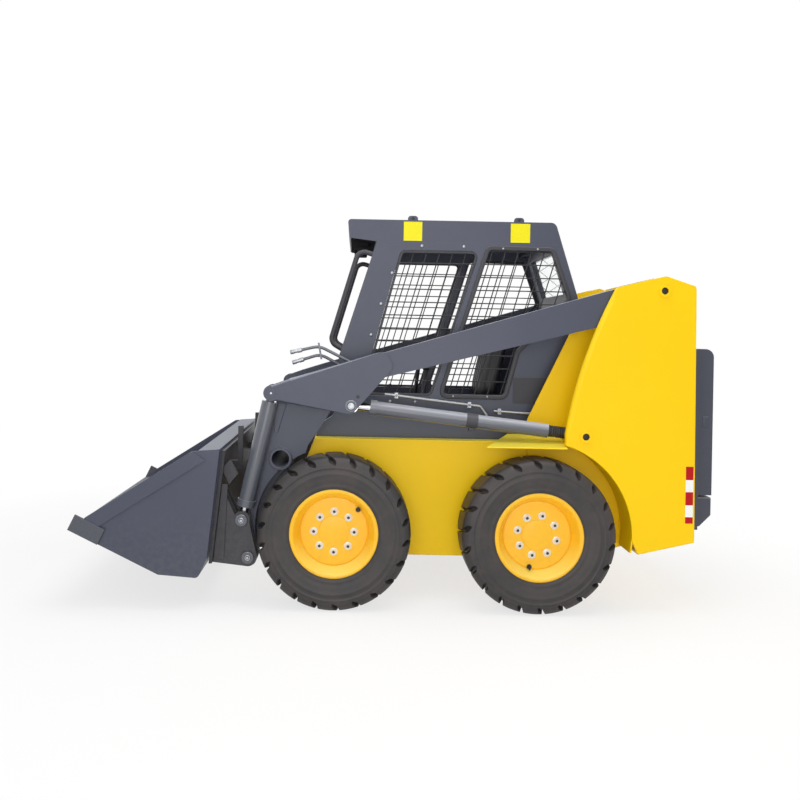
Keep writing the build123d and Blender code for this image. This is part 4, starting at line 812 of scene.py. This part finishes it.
armFixings = {
    "kneePin": (951, 1020), "frontPin": (1356, 1078), "faceY": 741, "headY": 745.8, "kneeWasher": (22.3, 30, 4),
    "hole": (917, 1067), "plug": [(0, 0), (9, 0), (9, 0.6), (0, 0.6)], "plugY": 740.7,
    "tube": (1310, 734), "weldY": [632.5, 584.5], "weldR": 57.5, "weldMm": 4,
    "upper": [(905, 598, 1213), (1123, 598, 1319), (1273, 598, 1283)],
    "lower": [(985, 584, 1208), (1117, 584, 1276), (1262, 584, 1229)],
    "pipeMm": 8, "bendMm": 34, "block": [(880, 570, 1170), (1040, 609, 1222)],
    "coupler": [(-64, 8.5), (-62, 10), (-60, 12), (-38, 12), (-37, 10), (-22, 10), (-21, 11.6), (-3, 11.6), (0, 10)],
    "gusset": [(1345, 1016), (1284, 1016), (1326, 870), (1345, 870)], "gussetY": (631.5, 641),
    "strap": [(1106, 1250), (1115, 1250), (1131, 1336), (1122, 1336)], "strapY": (576, 606),
    "backRadiusMm": (424, 335), "backTurnDeg": (-14, 45), "backY": (547, 557),
}
washers = repeated(flatWasher(*armFixings["kneeWasher"]), alongY(armFixings["kneePin"], armFixings["faceY"]))
addPair("armWashers", washers, barrelEnamel, "lift_arms", "grey_paint")
gusset = slab(armFixings["gusset"], *armFixings["gussetY"], 2.5)
addPair("legGussets", gusset, slateEnamel, "lift_arms", "grey_paint")
# Inner plate of the leg on the cross tube: a band of a circle round the front axle, that passes inside the tyre
turn = np.radians(np.linspace(*armFixings["backTurnDeg"], 36))
arcs = [np.stack([np.cos(turn), np.sin(turn)], 1) * radius for radius in armFixings["backRadiusMm"]]
middle = (frontAxle - [rearAxle[0], 0, 0])[[0, 2]] * 1000
legPlate = slab(middle + np.concatenate([arcs[0], arcs[1][::-1]]), *armFixings["backY"], 2)
addPair("legBackPlates", legPlate, slateEnamel, "lift_arms", "grey_paint")
kneeSpot, frontSpot = (alongY(armFixings[key], armFixings["headY"]) for key in ("kneePin", "frontPin"))
armBolts = joined(repeated(hexHead(24, 8), kneeSpot), repeated(flatWasher(1, 17, 2.5), kneeSpot),
                  repeated(hexHead(11, 5), frontSpot))
addPair("armBolts", armBolts, zincSteel, "lift_arms", "pipe_steel", merge=True)
plug = repeated(ring(armFixings["plug"], 28, False), alongY(armFixings["hole"], armFixings["plugY"]))
addPair("armHolePlug", plug, blackPlastic, "lift_arms", "black_plastic", merge=True)
turn = np.linspace(0, 2 * np.pi, 7)[:-1]
bead = np.stack([armFixings["weldR"] + armFixings["weldMm"] * np.cos(turn), armFixings["weldMm"] * np.sin(turn)], 1)
beads = [ring(bead, 72, True, (armFixings["tube"][0], y, armFixings["tube"][1])) for y in armFixings["weldY"]]
addPair("tubeWelds", joined(*beads), slateEnamel, "lift_arms", "grey_paint")
pipes, tips = [], []
for route in (armFixings["upper"], armFixings["lower"]):
    pipes.append(tube(bentPath(route, armFixings["bendMm"]), armFixings["pipeMm"], 14))
    end = np.array(route[-1], float)
    ahead = unit(end - np.array(route[-2], float))
    steps = np.array(armFixings["coupler"], float)
    tips.append(tube(end + steps[:, :1] * ahead, steps[:, 1], 24))
block = roundedBlock(*armFixings["block"], 6)
strap = slab(armFixings["strap"], *armFixings["strapY"], 0.8)
addPiece("auxPipes", placed(joined(*pipes, block, strap)), pipeSteel, "lift_arms", "pipe_steel", ["aux_lines"])
addPiece("auxCouplers", placed(joined(*tips)), zincSteel, "lift_arms", "pipe_steel")


# Lift barrels: a clamp band with its bolt lug, and a ribbed boot round the base

barrelBand = {"base": (-234, 675, 889), "eye": (951, 675, 1020), "spanMm": (540, 598), "chamferMm": 1.5,
              "radiusMm": [37, 38.2, 38.2, 37], "lugDropMm": 40, "lugMm": (16, 14, 14),
              "bootMm": (62, 186), "bootRadiusMm": 29, "ribMm": 12, "ribRiseMm": 1.6}
base, eye = np.array(barrelBand["base"], float), np.array(barrelBand["eye"], float)
ahead = unit(eye - base)
first, last = (base + ahead * span for span in barrelBand["spanMm"])
chamfer = ahead * barrelBand["chamferMm"]
band = tube(np.array([first, first + chamfer, last - chamfer, last]), barrelBand["radiusMm"], 56)
middle = (first + last) / 2 - np.array([0, 0, barrelBand["lugDropMm"]])
lug = roundedBlock(middle - np.array(barrelBand["lugMm"]), middle + np.array(barrelBand["lugMm"]), 3)
reach = np.linspace(*barrelBand["bootMm"], 49)
ribs = barrelBand["bootRadiusMm"] + barrelBand["ribRiseMm"] * np.cos(reach * 2 * np.pi / barrelBand["ribMm"])
boot = tube(base + reach[:, None] * ahead, ribs, 40)
for name, shape, material, slotName in (("barrelBand_", joined(band, lug), charcoalEnamel, "grey_paint"),
                                        ("barrelBoot_", boot, sealRubber, "black_plastic")):
    addPiece(name + "left", placed(shape), material, bodyOfNode["lift_barrel_left"], slotName)
    addPiece(name + "right", placed(otherSide(shape)), material, bodyOfNode["lift_barrel_right"], slotName)


# Hitch: washers and bolts on the pin heads, a flat bar beside the face plate and a latch box above it

hitchFixings = {
    "pins": [(1496, 431), (1460, 243)], "faceY": 737.8, "washer": (14, 30, 4), "collar": (10, 14.6, 6), "head": (15, 9),
    "bar": [(1597, 612), (1567, 612), (1580, 235), (1634, 235)], "barY": (725.5, 735),
    "box": [(1561, 735), (1604, 688), (1564, 606), (1521, 659)], "boxY": (676, 716),
}
hitchBody = bodyOfNode["hitch_frame"]
hitchBar = slab(hitchFixings["bar"], *hitchFixings["barY"], 2)
latchBox = slab(hitchFixings["box"], *hitchFixings["boxY"], 4)
addPair("hitchBars", joined(hitchBar, latchBox), charcoalEnamel, hitchBody, "grey_paint")
pinSpots = alongY(hitchFixings["pins"], hitchFixings["faceY"])
addPair("hitchWashers", repeated(flatWasher(*hitchFixings["washer"]), pinSpots), barrelEnamel, hitchBody, "grey_paint")
hitchBolt = joined(hexHead(*hitchFixings["head"]), flatWasher(*hitchFixings["collar"]))
addPair("hitchBolts", repeated(hitchBolt, pinSpots), zincSteel, hitchBody, "pipe_steel", merge=True)
print("arm, hitch and cylinder fittings set")


# Lamps: lenses in the visor, a red lens on each tower, and the dark tray and housings under the visor

lampShape = {
    "visor": [(925, 165, 1925), (974.5, 355, 1979)], "tail": [(-804.5, 604, 1115), (-783, 694, 1245)],
    "tray": [(970, 1901), (966, 1897), (838, 1881), (838, 1884.6)], "trayY": (-432, 432),
    "housing": [(872, 120, 1862), (950, 380, 1898)],
}
addPair("visorLenses", roundedBlock(*lampShape["visor"], 6), lampLens, "chassis", "lamp_lens", ["lamps"])
addPair("tailLenses", roundedBlock(*lampShape["tail"], 7), redLens, "chassis", "lamp_lens")
tray = slab(lampShape["tray"], *lampShape["trayY"], 0.8)
addPiece("visorTray", placed(tray), mattLiner, "chassis", "black_plastic", smooth=False)
addPair("visorHousings", roundedBlock(*lampShape["housing"], 8), mattLiner, "chassis", "black_plastic")


# Seat: two crowned pads with sewn channels

seatShape = {
    "pad": {"middle": (355, 0, 979), "half": (243, 233, 54)},
    "back": {"middle": (150, 0, 1236), "half": (200, 233, 55)}, "leanDeg": 12,
    "channels": [-112, -38, 38, 112], "depthMm": 9, "widthMm": 9, "square": (0.28, 0.5), "grid": (240, 81),
}


def sewnPad(half):
    # Plan: rounded square by polar angle, radius = (|cos|^n + |sin|^n)^(-1/n).
    # Section: edge and height are powers of cosine and sine. Channels sink the top by a bell curve of y
    across, down = seatShape["square"]
    turns, rows = seatShape["grid"]
    turn = np.linspace(0, 2 * np.pi, turns, endpoint=False)[:, None]
    share = np.linspace(-1, 1, rows)[None]
    plan = (np.abs(np.cos(turn)) ** (2 / across) + np.abs(np.sin(turn)) ** (2 / across)) ** (-across / 2)
    edge = np.cos(share * np.pi / 2)
    edge[:, [0, -1]] = 0
    x = half[0] * edge * plan * np.cos(turn)
    y = half[1] * edge * plan * np.sin(turn)
    rise = np.sqrt(1 - np.clip(edge, 0, 1) ** (2 / down))
    z = half[2] * np.sign(share) * rise ** down + 0 * turn
    sink = sum(np.exp(-((y - at) / seatShape["widthMm"]) ** 2) for at in seatShape["channels"])
    z = np.maximum(z - seatShape["depthMm"] * sink * np.clip(np.sign(share) * rise * 1.6, 0, 1), -0.96 * half[2])
    return np.stack([x, y, z], -1).reshape(-1, 3), gridFaces(turns, rows, True, False)


padPoints, padFaces = sewnPad(seatShape["pad"]["half"])
backPoints, backFaces = sewnPad(seatShape["back"]["half"])
lean = math.radians(90 - seatShape["leanDeg"])
upright = np.stack([np.sin(lean) * backPoints[:, 2] - np.cos(lean) * backPoints[:, 0], backPoints[:, 1],
                    np.sin(lean) * backPoints[:, 0] + np.cos(lean) * backPoints[:, 2]], 1)
pads = joined((padPoints + seatShape["pad"]["middle"], padFaces), (upright + seatShape["back"]["middle"], backFaces))
seat = addPiece("sewnSeat", placed(pads), seatVinyl, "chassis", "seat_vinyl", ["seat_cushions"], merge=True)
print("seat and lamps set")


# Rear door: slanting blades behind the slots, a paddle latch on the left edge, and covers beside the engine

doorShape = {
    "slots": 9, "pitchMm": 48, "middleZ": 954, "spansY": [(-392, -28), (28, 392)],
    "blade": [(-963, 7), (-961.5, 8), (-943, -6), (-944.5, -7)], "latch": [(-940, 508, 925), (-912, 517.5, 985)],
    "cover": [(-880.5, 390.5), (-795, 390.5), (-795, 1335.5), (-880.5, 1335.5)], "coverY": (549.8, 551.2),
}
rows = doorShape["middleZ"] + (np.arange(doorShape["slots"]) - (doorShape["slots"] - 1) / 2) * doorShape["pitchMm"]
blade = np.array(doorShape["blade"], float)
blades = [slab(blade + [0, z], low, high, 0.2) for z in rows for low, high in doorShape["spansY"]]
addPiece("doorBlades", placed(joined(*blades)), charcoalEnamel, "rear_door", "grey_paint", smooth=False)
addPiece("doorLatch", placed(roundedBlock(*doorShape["latch"], 2)), slateEnamel, "rear_door", "grey_paint")
cover = slab(doorShape["cover"], *doorShape["coverY"], 0.4)
addPair("rearSideCovers", cover, slateEnamel, "chassis", "grey_paint", smooth=False)
print("rear door fitted")
